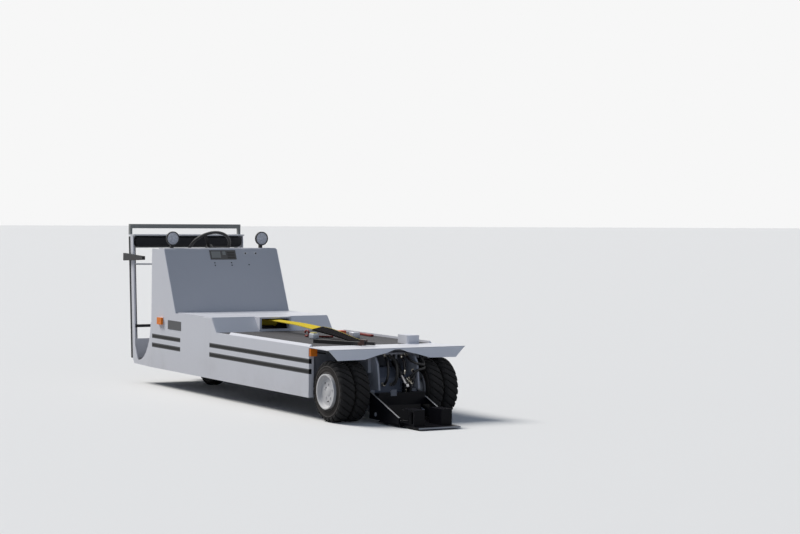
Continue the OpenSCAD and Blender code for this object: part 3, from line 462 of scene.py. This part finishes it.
def worked_mesh(name, work, *materials):
    """The mesh of a bmesh, which is freed."""
    mesh = plain_mesh(name, [], [], *materials)
    work.to_mesh(mesh)
    work.free()
    return mesh


def evaluated(thing):
    graph = bpy.context.evaluated_depsgraph_get()
    return bpy.data.meshes.new_from_object(thing.evaluated_get(graph), depsgraph=graph)


def solid(name, vertices, faces, materials, body="vehicle", angle=38, picks=None):
    """A closed form from points and faces; picks gives each face its material."""
    mesh = plain_mesh(name, vertices, faces, *materials)
    if picks:
        mesh.polygons.foreach_set("material_index", picks)
    mesh.update()
    work = bmesh.new()
    work.from_mesh(mesh)
    bmesh.ops.remove_doubles(work, verts=work.verts, dist=1e-6)
    bmesh.ops.recalc_face_normals(work, faces=work.faces)
    work.to_mesh(mesh)
    work.free()
    return put_down(name, mesh, body, angle)


def lathe(name, profile, centre, turn, materials, body="vehicle", steps=64, picks=None):
    """Revolves (radius, along) points in millimetres round the turned Z axis; picks gives each band its material."""
    vertices, faces, which = [], [], []
    for step in range(steps):
        angle = 2 * pi * step / steps
        vertices += [centre + turn @ Vector((radius * cos(angle), radius * sin(angle), along)) / 1000
                     for radius, along in profile]
    count = len(profile)
    for step in range(steps):
        here, there = step * count, (step + 1) % steps * count
        for i in range(count - 1):
            if profile[i][0] or profile[i + 1][0]:
                faces.append([here + i, there + i, there + i + 1, here + i + 1])
                which.append(picks[i] if picks else 0)
    return solid(name, vertices, faces, materials, body, picks=which)


def tube(name, points, radius, material, body="vehicle", sides=10):
    """A round bar along the points, with closed ends."""
    vertices, side, last = [], None, len(points) - 1
    for i, point in enumerate(points):
        ahead = (points[min(i + 1, last)] - points[max(i - 1, 0)]).normalized()
        side = side or ahead.orthogonal().normalized()
        side = (side - ahead * side.dot(ahead)).normalized()
        other = ahead.cross(side)
        for s in range(sides):
            angle = 2 * pi * s / sides
            vertices.append(point + radius * (cos(angle) * side + sin(angle) * other))
    faces = [list(range(sides))[::-1], [last * sides + s for s in range(sides)]]
    for i in range(last):
        for s in range(sides):
            t = (s + 1) % sides
            faces.append([i * sides + s, i * sides + t, (i + 1) * sides + t, (i + 1) * sides + s])
    return solid(name, vertices, faces, [material], body)


def curve_points(controls, steps=10):
    """Points on a smooth curve through the control points."""
    padded = [2 * controls[0] - controls[1]] + controls + [2 * controls[-1] - controls[-2]]
    points = []
    for i in range(len(controls) - 1):
        a, b, c, d = padded[i:i + 4]
        for s in range(steps):
            t = s / steps
            points.append(0.5 * (2 * b + (c - a) * t + (2 * a - 5 * b + 4 * c - d) * t * t
                                 + (3 * b - a - 3 * c + d) * t * t * t))
    return points + [controls[-1]]


def boxes(name, places, material, body, bevel, segments):
    """Unit cubes, each brought to its place by a matrix, with bevelled edges."""
    work = bmesh.new()
    for matrix in places:
        bmesh.ops.transform(work, matrix=matrix, verts=bmesh.ops.create_cube(work, size=1.0)["verts"])
    bmesh.ops.bevel(work, geom=work.edges[:], offset=bevel, segments=segments, affect="EDGES", profile=0.5)
    return put_down(name, worked_mesh(name, work, material), body, 40)


def between(low, high):
    """The matrix that brings the unit cube between two corners."""
    return Matrix.Translation((low + high) / 2) @ Matrix.Diagonal((*(high - low), 1))


def slab(name, low, high, material, bevel=0.002, segments=2):
    """A block of the body with rounded edges between two corners."""
    return boxes(name, [between(low, high)], material, "vehicle", bevel, segments)


def bars(name, pieces, material, body="vehicle", bevel=0.0008):
    """Straight bars of rectangular section, each (from, to, width, thickness, direction of the width)."""
    places = []
    for start, end, width, thick, across in pieces:
        along, across = end - start, Vector(across)
        ahead = along.normalized()
        across = (across - ahead * across.dot(ahead)).normalized()
        turn = Matrix((along, across * width, ahead.cross(across) * thick)).transposed().to_4x4()
        places.append(Matrix.Translation((start + end) / 2) @ turn)
    return boxes(name, places, material, body, bevel, 1)


def ribbon(name, controls, thick, splits, materials, replaced):
    """A flat strap through (x, y, z, half width, roll) places; splits are (share across, material) from near to far."""
    centres = curve_points([ax(*c[:3]) for c in controls], 6)
    shapes = curve_points([Vector((c[3], c[4], 0)) for c in controls], 6)
    rows = []
    for i, (centre, shape) in enumerate(zip(centres, shapes)):
        ahead = (centres[min(i + 1, len(centres) - 1)] - centres[max(i - 1, 0)]).normalized()
        level = Vector((-ahead.y, ahead.x, 0)).normalized()
        across = cos(shape.y) * level + sin(shape.y) * ahead.cross(level)
        up = ahead.cross(across) * thick / 2000
        rows.append([centre + across * part * shape.x / 1000 + up * t for t in (-1, 1) for part, _ in splits])
    count = len(splits)
    faces, which = [], []
    for i in range(len(rows) - 1):
        a, b = i * 2 * count, (i + 1) * 2 * count
        for j in range(count - 1):
            faces += [[a + j, b + j, b + j + 1, a + j + 1],
                      [a + count + j, a + count + j + 1, b + count + j + 1, b + count + j]]
            which += [splits[j][1], splits[j][1]]
        for j in (0, count - 1):
            faces.append([a + j, a + count + j, b + count + j, b + j])
            which.append(splits[max(j - 1, 0)][1])
    for a in (0, (len(rows) - 1) * 2 * count):
        for j in range(count - 1):
            faces.append([a + j, a + j + 1, a + count + j + 1, a + count + j])
            which.append(splits[j][1])
    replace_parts(solid(name, [v for row in rows for v in row], faces, materials, picks=which), replaced)


# Geometry nodes
def bake(thing, tree, values, body, name):
    """Runs a node tree on an object, keeps the result as a plain mesh and rides it on a body."""
    modifier = thing.modifiers.new("Build", "NODES")
    modifier.node_group = bpy.data.node_groups[tree]
    for item in modifier.node_group.interface.items_tree:
        if item.in_out == "INPUT" and item.name in values:
            modifier[item.identifier] = values[item.name]
    mesh = evaluated(thing)
    thing.modifiers.remove(modifier)
    mesh.name = name
    bpy.data.objects.remove(thing)
    return put_down(name, mesh, body, 35)


def geometry_net(name, inputs, material):
    """An empty geometry tree: its net, its inputs as wires and the input that takes the result."""
    tree = bpy.data.node_groups.new(name, "GeometryNodeTree")
    tree.interface.new_socket(name="Geometry", in_out="INPUT", socket_type="NodeSocketGeometry")
    for label, kind in inputs.items():
        tree.interface.new_socket(name=label, in_out="INPUT", socket_type="NodeSocket" + kind)
    tree.interface.new_socket(name="Geometry", in_out="OUTPUT", socket_type="NodeSocketGeometry")
    net = Net(tree)
    source, sink = tree.nodes.new("NodeGroupInput"), tree.nodes.new("NodeGroupOutput")
    realize = tree.nodes.new("GeometryNodeRealizeInstances")
    painted = net.out("SetMaterial", Geometry=Wire(net, realize.outputs[0]),
                      Material=MATERIALS[material])
    net.put(sink.inputs[0], painted)
    return net, [Wire(net, socket) for socket in source.outputs if socket.name], realize.inputs[0]


def ring_tree(name, material):
    """Turns the given mesh Count times about the Y axis through Centre, each time by an equal step."""
    net, (given, count, centre), result = geometry_net(name, dict(Count="Int", Centre="Vector"), material)
    angle = net.out("InputIndex") * net.math("DIVIDE", 2 * pi, count)
    ring = net.out("InstanceOnPoints", Points=net.out("Points", Count=count),
                   Instance=given, Rotation=net.out("ShaderNodeCombineXYZ", Y=angle))
    net.put(result, net.out("Transform", Geometry=ring, Translation=centre))


def bolt_tree(name, material, sides=6):
    """A flat head on a washer on every point, facing along the point's own direction."""
    net, (given, radius, height), result = geometry_net(name, dict(Radius="Float", Height="Float"), material)
    head = net.out("MeshCylinder", "Mesh", Vertices=sides, Radius=radius, Depth=height)
    washer = net.out("MeshCylinder", "Mesh", Vertices=16, Radius=radius * 1.45, Depth=height * 0.35)
    raised = net.out("Transform", Geometry=head,
                     Translation=net.out("ShaderNodeCombineXYZ", Z=height * 0.5))
    both = net.out("JoinGeometry", Geometry=raised)
    net.put(both.socket.node.inputs[0], washer)
    facing = net.out("InputNamedAttribute", data_type="FLOAT_VECTOR", Name="facing")
    turn = net.out("FunctionNodeAlignEulerToVector", axis="Z", Vector=facing)
    net.put(result, net.out("InstanceOnPoints", Points=given, Instance=both, Rotation=turn))


def bolts(name, places, facing, tree, radius, height, body="vehicle"):
    """Bolt heads at the places, all facing the same way."""
    mesh = plain_mesh(name + "_points", places, [])
    store = mesh.attributes.new("facing", "FLOAT_VECTOR", "POINT")
    store.data.foreach_set("vector", list(facing) * len(places))
    return bake(put_down(name + "_points", mesh, None), tree, {"Radius": radius, "Height": height}, body, name)


# Operators
class Step:
    """What the building steps share."""

    def execute(self, context):
        self.build(context.scene)
        return {"FINISHED"}


class TUG_OT_finishes(Step, Operator):
    """Make every finish and give the carried nodes theirs"""
    bl_idname = "tug.finishes"
    bl_label = "Finishes"

    def build(self, scene):
        paint = scene.tug_paint
        make_effects()
        make_paints(tuple(paint.white), paint.dust)
        make_coats(tuple(paint.webbing), tuple(paint.amber), paint.dust)
        finish_of = {
            "Body White": "dash_panel bay_cover battery_lid rear_corner_right rear_corner_left rear_panel",
            "Fender White": "front_fender",
            "Console White Painted Shade": "console_shell",
            "Striped White": "side_panel_right side_panel_left",
            "Frame Grey": "steer_fork",
            "Horn White In Painted Shade": "chassis_frame",
            "Grip Deck": "deck_plate",
            "Grip Floor": "operator_floor",
            "Satin Black": "lower_bar side_arms winch_frame lift_barrel tow_hitch",
            "Cradle Black": "cradle_frame cradle_scoop",
            "Hook Bar": "strap_bar",
            "Gear Housing": "drive_axle hydraulic_valve",
            "Motor Black": "drive_motor battery_pack",
            "Wheel Cream": "wheels_right wheels_left steer_rim",
            "Rail Steel": "rear_rail",
            "Chrome Rod": "lift_rod",
            "Black Plastic": "headlamp_shells steering_column steering_wheel pedals",
            "Bumper Rubber": "corner_bumpers",
            "Lamp Glass": "headlamp_lenses",
            "Amber Lens": "marker_lamps",
            "Webbing": "winch_drum",
        }
        for name, nodes in finish_of.items():
            for node in nodes.split():
                dress(node, name)


class TUG_OT_tyres(Step, Operator):
    """Build the tyres with their diagonal tread, notched shoulders and ribbed walls"""
    bl_idname = "tug.tyres"
    bl_label = "Tyres"

    def build(self, scene):
        wish = scene.tug_tyres
        ring_tree("Tread Ring", "Tyre Rubber")
        for side, word in SIDES:
            for middle in TYRE_MIDDLES:
                self.tyre(f"tyre_{word}_{middle}", ax(0, side * middle, DRIVE_Z), 210, 55, 111, 121, wish,
                          "drive_wheels_" + word, "tyres_" + word)
        self.tyre("tyre_steered", ax(STEER_X, 0, STEER_Z), 190, 56, 95, 105, wish, "steered_wheel", "steer_tyre")

    def tyre(self, name, centre, radius, half, seat, bead, wish, body, replaced):
        """Carcass with ribbed walls, and a ring of slanted lugs that wrap over both shoulders; in millimetres."""
        floor = radius - 1000 * wish.groove
        ribs = ((6, 2), (12, 0.5), (15, 3), (22, 3.2), (25, 0.8), (30, 0.8), (33, 2.8), (46, 3), (49, 1.2), (52, 1.2),
                (55, 3.2))
        wall = [(seat + 0.6, half - 14.5), (bead + 0.4, half - 8.5)]
        wall += [(bead + out, half - back) for out, back in ribs]
        wall += [(floor - 12, half - 6), (floor - 2, half - 12), (floor, half - 18)]
        profile = wall + [(r, -a) for r, a in reversed(wall)]
        profile.append(profile[0])
        picks = [0] * (len(profile) - 1)
        last = 2 * len(wall) - 2
        for i in range(13, last - 12):
            picks[i] = 1
        # Rings 2 and 10 take the paler wall rubber: painted highlight on these ribs.
        for i in (2, 10):
            picks[i] = picks[last - i] = 2
        turn = Matrix.Rotation(radians(90), 3, "X")
        carcass = lathe(name, profile, centre, turn, ["Tyre Wall", "Tyre Rubber", "Wall Ring"], body, 72, picks)
        lug = self.lug(name + "_lug", radius, floor, half, 2 * pi / wish.lugs)
        tread = bake(lug, "Tread Ring", {"Count": wish.lugs, "Centre": centre}, body, name + "_tread")
        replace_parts(carcass, replaced)
        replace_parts(tread, replaced)

    def lug(self, name, radius, floor, half, pitch):
        """One block that crosses the tread on the slant, at the origin, turning about Y."""
        lean, sections = 0.72, 9
        vertices, faces = [], []
        for i in range(sections):
            t = i / (sections - 1) * 2 - 1
            drop = max(0.0, abs(t) - 0.62) / 0.38
            top = radius - 16.5 * drop ** 1.8
            base = floor - 4 - 15 * drop ** 1.5
            width = pitch * (0.4 - 0.13 * max(0.0, abs(t) - 0.7) / 0.3)
            for reach, turn in ((base, -1.1), (top - 1, -1.0), (top, -0.85), (top, 0.85), (top - 1, 1.0), (base, 1.1)):
                angle = lean * t * half / radius + width * turn
                vertices.append(Vector((reach * sin(angle), t * (half - 1.5), reach * cos(angle))) / 1000)
        for i in range(sections - 1):
            faces += [[a, a + 1, a + 7, a + 6] for a in range(i * 6, i * 6 + 5)]
            faces.append([i * 6 + 5, i * 6, i * 6 + 6, i * 6 + 11])
        faces += [[5, 4, 3, 2, 1, 0], [48, 49, 50, 51, 52, 53]]
        return solid(name, vertices, faces, ["Tyre Rubber"], None, None)


class TUG_OT_wheels(Step, Operator):
    """Add nuts, hub caps, hand holes and valves to the wheels"""
    bl_idname = "tug.wheels"
    bl_label = "Wheel details"

    def build(self, scene):
        bolt_tree("Round Heads", "Zinc Bolt", 14)
        bolt_tree("Dark Heads", "Black Plastic", 14)
        bolt_tree("Cream Heads", "Wheel Cream")
        for side, word in SIDES:
            body = "drive_wheels_" + word
            turn = Matrix.Rotation(radians(-90 * side), 3, "X")

            def face(x=0, z=0, out=0):
                return ax(x, side * (WHEEL_FACE + out), DRIVE_Z + z)

            lathe("hub_cap_" + word, [(0, 3.5), (24, 3.5), (31, 1.5), (34, 0), (0, 0)], face(), turn, ["Wheel Cream"],
                  body, 40)
            places = [face(52 * cos(a), 52 * sin(a)) for a in [radians(72 * k + 18) for k in range(5)]]
            bolts("wheel_nuts_" + word, places, (0, side, 0), "Cream Heads", 0.0075, 0.0045, body)
            for k, (x, z, radius) in enumerate(((-42, 54, 8.5), (-28, 24, 7.5), (8, -66, 5.5))):
                # Each hole is a black disc in a raised cream ring: the black is painted shade for the dark inside of
                # the hole.
                profile = [(0, 0.8), (radius * 0.78, 0.8), (radius * 0.92, 2.2), (radius, 0), (0, 0)]
                lathe(f"hand_hole_{word}_{k}", profile, face(x, z), turn, ["Black Plastic", "Wheel Cream"],
                      body, 24, [0, 1, 1, 0])
            tube("valve_" + word, [face(8, -66), face(9, -69, 14)], 0.003, "Black Plastic", body, 8)
            # The lip ring's paler paint is a painted highlight.
            lathe("wheel_lip_" + word, [(111.5, 25.2), (118, 26.2), (120.5, 25), (111.5, 25.2)], face(), turn,
                  ["Rim Lip"], body, 96)


class TUG_OT_pad(Step, Operator):
    """Make the backrest pad as stuffed vinyl with a welted seam"""
    bl_idname = "tug.pad"
    bl_label = "Backrest pad"

    def build(self, scene):
        low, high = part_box("backrest_pad")
        inset = 0.004
        low, high = low + Vector((0.0006, inset, inset)), high - Vector((inset, inset, inset))
        pad = self.block("backrest_cushion", low, high)
        self.swell(scene, pad, low, scene.tug_trim.crown)
        soften = pad.modifiers.new("Soften", "SUBSURF")
        soften.levels = soften.render_levels = 1
        mesh = evaluated(pad)
        pad.modifiers.clear()
        pad.data = mesh
        mesh.materials.clear()
        mesh.materials.append(MATERIALS["Pad Vinyl"])
        mesh.shade_smooth()
        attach(pad, "vehicle")
        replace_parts(pad, "backrest_pad")
        middle, radius, rim = (low + high) / 2, (high.z - low.z) / 2 - inset, []
        for k in range(49):
            angle = 2 * pi * k / 48
            side = 1 if cos(angle) >= 0 else -1
            y = middle.y + side * ((high.y - low.y) / 2 - radius - inset) + radius * cos(angle)
            rim.append(Vector((high.x - 0.009, y, middle.z + radius * sin(angle))))
        tube("backrest_welt", rim, 0.0032, "Pad Vinyl", sides=8)

    def block(self, name, low, high):
        """A long rounded form with crowned faces, evenly meshed."""
        work = bmesh.new()
        bmesh.ops.create_cube(work, size=1.0)
        bmesh.ops.transform(work, matrix=between(low, high), verts=work.verts)
        upright = [e for e in work.edges if abs(e.verts[0].co.x - e.verts[1].co.x) > 0.01]
        bmesh.ops.bevel(work, geom=upright, offset=0.03, segments=6, affect="EDGES", profile=0.5)
        front = [e for e in work.edges if all(v.co.x > high.x - 1e-4 for v in e.verts)]
        bmesh.ops.bevel(work, geom=front, offset=0.01, segments=3, affect="EDGES", profile=0.6)
        thing = put_down(name, worked_mesh(name, work), None)
        remesh = thing.modifiers.new("Even", "REMESH")
        remesh.mode, remesh.voxel_size = "VOXEL", 0.006
        thing.data = evaluated(thing)
        thing.modifiers.clear()
        return thing

    def swell(self, scene, thing, low, cap):
        """Blows the form up as cloth, with its back held, and caps how far a point moves."""
        start = [v.co.copy() for v in thing.data.vertices]
        held = thing.vertex_groups.new(name="Held")
        held.add([i for i, co in enumerate(start) if co.x < low.x + 0.006], 1.0, "REPLACE")
        cloth = thing.modifiers.new("Cloth", "CLOTH").settings
        cloth.use_pressure = True
        cloth.uniform_pressure_force = 4.0
        cloth.effector_weights.gravity = 0.0
        cloth.vertex_group_mass = "Held"
        cloth.quality = 5
        for number in range(1, 21):
            scene.frame_set(number)
        graph = bpy.context.evaluated_depsgraph_get()
        moved = [v.co.copy() for v in thing.evaluated_get(graph).data.vertices]
        thing.modifiers.clear()
        scene.frame_set(1)
        for vertex, a, b in zip(thing.data.vertices, start, moved):
            step = b - a
            if step.length > cap:
                step = step.normalized() * cap
            vertex.co = a + step
        thing.vertex_groups.clear()


class TUG_OT_strap(Step, Operator):
    """Lay the winch strap, its sleeve and its hardware along the deck"""
    bl_idname = "tug.strap"
    bl_label = "Strap"

    def build(self, scene):
        ribbon("sleeve_webbing",
               [(-985, 0, 566, 46, 0.2), (-865, 0, 560, 46, 0.24), (-720, 0, 547, 46, 0.16), (-580, 0, 532, 46, 0.06),
                (-400, 0, 510, 46, 0.0), (-330, -15, 508, 44, 0.0), (-270, -50, 508, 40, 0.0),
                (-215, -85, 508, 36, 0.0)],
               10, [(-1.0, 0), (0.84, 0), (0.88, 1), (0.96, 0), (1.0, 0)], ["Sleeve Weave", "Yellow Stitch"],
               "strap_sleeve")
        ribbon("strap_webbing",
               [(-1809, 0, 591.5, 37.5, 0.0), (-1640, 0, 586, 37.5, 0.03), (-1300, 0, 581, 37.5, 0.12),
                (-1080, 0, 572, 37.5, 0.2), (-960, 0, 565, 37.5, 0.2)],
               4.5, [(-1.0, 0), (-0.86, 1), (-0.78, 0), (0.78, 1), (0.86, 0), (1.0, 0)], ["Webbing", "Dark Thread"],
               "winch_strap")
        hook = [ax(-1052, -62, 509), ax(-1012, -66, 512), ax(-986, -72, 524), ax(-978, -77, 541), ax(-992, -80, 552),
                ax(-1016, -81, 548), ax(-1026, -82, 534)]
        tube("deck_hook", curve_points(hook, 6), 0.007, "Hook Red")
        bars("deck_tie_bar", [(ax(-1010, -40, 509), ax(-905, 88, 509), 0.026, 0.012, (1, 0, 0)),
                              (ax(-1150, 425, 511), ax(-880, 405, 511), 0.026, 0.016, (0, 1, 0))], "Hook Red",
             bevel=0.003)
        slab("latch_body", ax(-884, -128, 503), ax(-816, -81, 541), "Silver Paint", 0.005, 3)
        slab("latch_top", ax(-876, -122, 541), ax(-828, -88, 548), "Latch Yellow")
        slab("chock", ax(-905, 112, 503), ax(-850, 168, 556), "Orange Plastic", 0.006, 3)
        slab("chock_cap", ax(-845, 184, 503), ax(-775, 240, 546), "Silver Paint", 0.006, 3)


class TUG_OT_hoses(Step, Operator):
    """Run the hydraulic hoses with their fittings between the frame horns"""
    bl_idname = "tug.hoses"
    bl_label = "Hoses"

    def build(self, scene):
        radius = scene.tug_trim.hose
        runs = {
            "hose_feed": [(61, 110, 318), (62, 110, 360), (52, 108, 408), (28, 104, 436), (20, 104, 451)],
            "hose_return": [(111, 124, 266), (136, 126, 268), (148, 132, 296), (134, 142, 328), (104, 154, 344),
                            (90, 170, 348)],
            "hose_over": [(40, 128, 451), (72, 124, 436), (112, 122, 418), (150, 136, 402), (170, 166, 392),
                          (166, 198, 388), (140, 212, 404), (112, 212, 446), (106, 212, 496)],
            "hose_side": [(111, 106, 284), (134, 112, 300), (158, 128, 330), (174, 152, 352), (178, 178, 360),
                          (166, 204, 366), (136, 214, 386), (98, 214, 440), (84, 214, 496)],
            "hose_cross": [(48, -60, 250), (80, -60, 254), (106, -56, 292), (108, -50, 350), (84, -44, 408),
                           (44, -40, 438), (32, -40, 451)],
            "hose_guarded": [(20, 4, 451), (36, 6, 438), (84, 10, 420), (112, 14, 382), (120, 14, 330),
                             (108, 14, 282), (80, 12, 254), (48, 10, 246)],
        }
        for name, points in runs.items():
            route = curve_points([ax(*p) for p in points], 8)
            tube(name, route, radius, "Black Plastic")
            for k, (end, after) in enumerate(((route[0], route[2]), (route[-1], route[-3]))):
                turn = Vector((0, 0, 1)).rotation_difference(after - end).to_matrix()
                wide = 1000 * radius + (6 if (name, k) == ("hose_return", 0) else 3)
                profile = [(0, -2), (wide, -2), (wide, 7), (wide - 2, 9), (wide - 2, 14), (wide, 16), (wide, 26),
                           (wide - 1.5, 28), (0, 28)]
                lathe(f"{name}_fitting_{k}", profile, end, turn, ["Brass Fitting"], steps=24)
        self.guard(route, radius)
        slab("manifold", ax(76, 90, 232), ax(112, 150, 298), "Motor Black", 0.003)
        lathe("manifold_plug", [(0, 0), (13, 0), (13, 12), (10, 14), (10, 30), (8, 32), (0, 32)], ax(96, 104, 232),
              Matrix.Rotation(pi, 3, "X"), ["Brass Fitting"], steps=6)
        bolts("manifold_bolts", [ax(112, y, z) for y in (97, 143) for z in (240, 290)], (1, 0, 0), "Round Heads",
              0.004, 0.004)

    def guard(self, route, radius):
        """A coil wound round a hose."""
        pitch, sides = 0.0075, 10
        length = sum((b - a).length for a, b in zip(route, route[1:]))
        total = int(length / pitch) * sides
        coil, side = [], route[0].orthogonal()
        for k in range(total + 1):
            t = k / total * (len(route) - 1)
            index = min(int(t), len(route) - 2)
            ahead = (route[index + 1] - route[index]).normalized()
            side = (side - ahead * side.dot(ahead)).normalized()
            angle = 2 * pi * k / sides
            coil.append(route[index].lerp(route[index + 1], t - index)
                        + (radius + 0.0022) * (cos(angle) * side + sin(angle) * ahead.cross(side)))
        tube("coil_guard", coil, 0.0016, "Motor Black", sides=5)


class TUG_OT_trim(Step, Operator):
    """Add console screws, the gauge plate, buttons, plates, lamp surrounds, wires and the cradle's edges"""
    bl_idname = "tug.trim"
    bl_label = "Trim"

    def build(self, scene):
        lean = atan(CONSOLE_LEAN)
        face = Vector((cos(lean), 0, sin(lean)))

        def on_console(y, z, out=0.0):
            return ax(-2575 + CONSOLE_LEAN * (1094 - z), y, z) + face * out

        spots = [(-80, 988), (-80, 968), (68, 988), (68, 968), (221, 972)]
        bolts("console_screws", [on_console(y, z) for y, z in spots], face, "Dark Heads", 0.004, 0.003)
        tilt = Vector((0, 0, 1)).rotation_difference(face).to_matrix()
        for k, y in enumerate((205, 298)):
            profile = [(0, 6.5), (6.2, 6.5), (7.2, 5.5), (7.4, 3), (9, 4.2), (12.5, 4), (14, 0), (0, 0)]
            lathe(f"console_button_{k}", profile, on_console(y, 1060), tilt, ["Black Plastic", "Silver Paint"],
                  steps=32, picks=[0, 0, 0, 1, 1, 1, 1])
        self.gauge_plate(on_console)
        for side, word in SIDES:
            low, high = sorted((side * 500, side * 502))
            slab("data_plate_" + word, ax(-2489, low, 474), ax(-2252, high, 544), "Blank Plate", 0.0006, 1)
            bars("front_surround_" + word, [(ax(-204, side * 443, 464), ax(-204, side * 505, 464), 0.063, 0.003,
                                             (0, 0, 1))], "Body White")
            bars("side_surround_" + word, [(ax(-2662, side * 501, 529), ax(-2570, side * 501, 529), 0.064, 0.003,
                                            (0, 0, 1))], "Body White")
            wire = [ax(-196, side * 450, 462), ax(-190, side * 436, 460), ax(-196, side * 400, 455),
                    ax(-203, side * 372, 452)]
            tube("lamp_wire_" + word, curve_points(wire, 6), 0.0045, "Black Plastic", sides=8)
        self.cradle_trim()

    def cradle_trim(self):
        """Bright steel strips along the cradle's edges as painted highlight, the liner behind its scoop and its
        rollers.
        """
        pieces = [(ax(114, s * 192, 209.4), ax(494, s * 192, 68.2), 0.0118, 0.0014, (0, 1, 0)) for s in (-1, 1)]
        bars("cradle_edges", pieces, "Worn Steel", "cradle", 0.0003)
        bars("scoop_liner", [(ax(212, 0, 124), ax(262, 0, 21), 0.296, 0.004, (0, 1, 0))], "Cradle Black", "cradle")
        profile = [(15.2, 0), (17.2, 2), (17.2, 18), (16, 20), (16, 76), (17.2, 78), (17.2, 94), (15.2, 96), (15.2, 0)]
        for side, word in SIDES:
            lathe("guide_roller_" + word, profile, ax(542, side * 128, 24), Matrix.Identity(3), ["Cradle Black"],
                  "cradle", 40)

    def gauge_plate(self, on_console):
        """A black plate with two blank windows and a row of keys."""
        def panel(name, y0, y1, z0, z1, low, high, material):
            corners = [on_console(y, z, out) for out in (low, high) for y, z in
                       ((y0, z0), (y1, z0), (y1, z1), (y0, z1))]
            faces = [[0, 1, 2, 3], [7, 6, 5, 4], [0, 4, 5, 1], [1, 5, 6, 2], [2, 6, 7, 3], [3, 7, 4, 0]]
            solid(name, corners, faces, [material], angle=None)

        panel("gauge_plate", -111, 119, 1013, 1086, 0.0, 0.003, "Blank Plate")
        panel("gauge_window_wide", -98, -18, 1026, 1076, 0.003, 0.0045, "Rail Steel")
        panel("gauge_window_small", 0, 28, 1048, 1076, 0.003, 0.0045, "Rail Steel")
        for row in range(3):
            panel(f"gauge_key_{row}", 42, 106, 1022 + 19 * row, 1034 + 19 * row, 0.003, 0.005, "Black Plastic")


class TUG_OT_stage(Step, Operator):
    """Set the floor, soft lights and the camera"""
    bl_idname = "tug.stage"
    bl_label = "Stage"

    def build(self, scene):
        scene.view_settings.view_transform = "Standard"
        world = bpy.data.worlds.new("Studio")
        scene.world = world
        world.use_nodes = True
        net = Net(world.node_tree)
        sky = world.node_tree.nodes["Background"]
        seen = net.seen()
        net.put(sky.inputs[0], net.mix(seen, (0.5, 0.68, 1.0), (0.93, 0.93, 0.93)))
        net.put(sky.inputs[1], seen * 0.78 + 0.22)
        self.floor()
        self.lamp("Key", (-5.4, -3.9, 8.2), 26.0, 3.4, (1.0, 0.985, 0.96))
        self.lamp("Fill", (9.0, -2.6, 2.0), 60.0, 0.42, (0.76, 0.86, 1.0))
        self.camera(scene)

    def floor(self):
        """A plain pale floor, darker to the rays that only light the machine."""
        net = begin("Pale Floor", 0.9)
        net.base(net.mix(net.seen(), (0.33, 0.33, 0.33), (0.74, 0.73, 0.71)))
        reach = 60
        corners = [(x * reach, y * reach, 0) for x, y in ((-1, -1), (1, -1), (1, 1), (-1, 1))]
        put_down("floor", plain_mesh("floor", corners, [[0, 1, 2, 3]], "Pale Floor"), None)

    def lamp(self, name, place, width, power, colour):
        """A soft far lamp that shines from a place towards the object; width is its angle in degrees."""
        data = bpy.data.lights.new(name, "SUN")
        data.energy, data.color, data.angle = power, colour, radians(width)
        thing = bpy.data.objects.new(name, data)
        thing.location = place
        thing.rotation_euler = (Vector((0, 0, 0.4)) - Vector(place)).to_track_quat("-Z", "Y").to_euler()
        bpy.context.scene.collection.objects.link(thing)

    def camera(self, scene):
        """The photograph's view, as fitted to its straight edges."""
        yaw, pitch, roll = (radians(a) for a in (31.459, 2.1825, 0.87))
        focal, width = 2060.0, 800.0
        ahead = Vector((-cos(yaw) * cos(pitch), sin(yaw) * cos(pitch), -sin(pitch)))
        level = Vector((sin(yaw), cos(yaw), 0))
        down = ahead.cross(level)
        right = cos(roll) * level - sin(roll) * down
        below = sin(roll) * level + cos(roll) * down
        data = bpy.data.cameras.new("camera")
        data.sensor_width, data.lens = 36.0, focal / width * 36.0
        data.clip_end = 500.0
        thing = bpy.data.objects.new("camera", data)
        turn = Matrix((right, -below, -ahead)).transposed().to_4x4()
        thing.matrix_world = Matrix.Translation((AXLE_X + 12.183, -7.356, 1.6)) @ turn
        scene.collection.objects.link(thing)
        scene.camera = thing


class TUG_PT_panel(Panel):
    """Lists the tractor's building steps"""
    bl_idname = "TUG_PT_panel"
    bl_label = "Pushback Tractor"
    bl_space_type = "VIEW_3D"
    bl_region_type = "UI"
    bl_category = "Tug"

    def draw(self, context):
        for name in SETTINGS:
            group = getattr(context.scene, name)
            for key in group.bl_rna.properties.keys():
                if key not in ("rna_type", "name"):
                    self.layout.prop(group, key)
        for step in STEPS:
            self.layout.operator(step.bl_idname)


STEPS = (TUG_OT_finishes, TUG_OT_tyres, TUG_OT_wheels, TUG_OT_pad, TUG_OT_strap, TUG_OT_hoses, TUG_OT_trim,
         TUG_OT_stage)
SETTINGS = {"tug_paint": TugPaintSettings, "tug_tyres": TugTyreSettings, "tug_trim": TugTrimSettings}
CLASSES = (*SETTINGS.values(), *STEPS, TUG_PT_panel)


def register():
    for item in CLASSES:
        bpy.utils.register_class(item)
    for name, settings in SETTINGS.items():
        setattr(bpy.types.Scene, name, PointerProperty(type=settings))


def unregister():
    for name in SETTINGS:
        delattr(bpy.types.Scene, name)
    for item in reversed(CLASSES):
        bpy.utils.unregister_class(item)


def main():
    register()
    for step in STEPS:
        area, name = step.bl_idname.split(".")
        getattr(getattr(bpy.ops, area), name)()


if __name__ == "__main__":
    main()
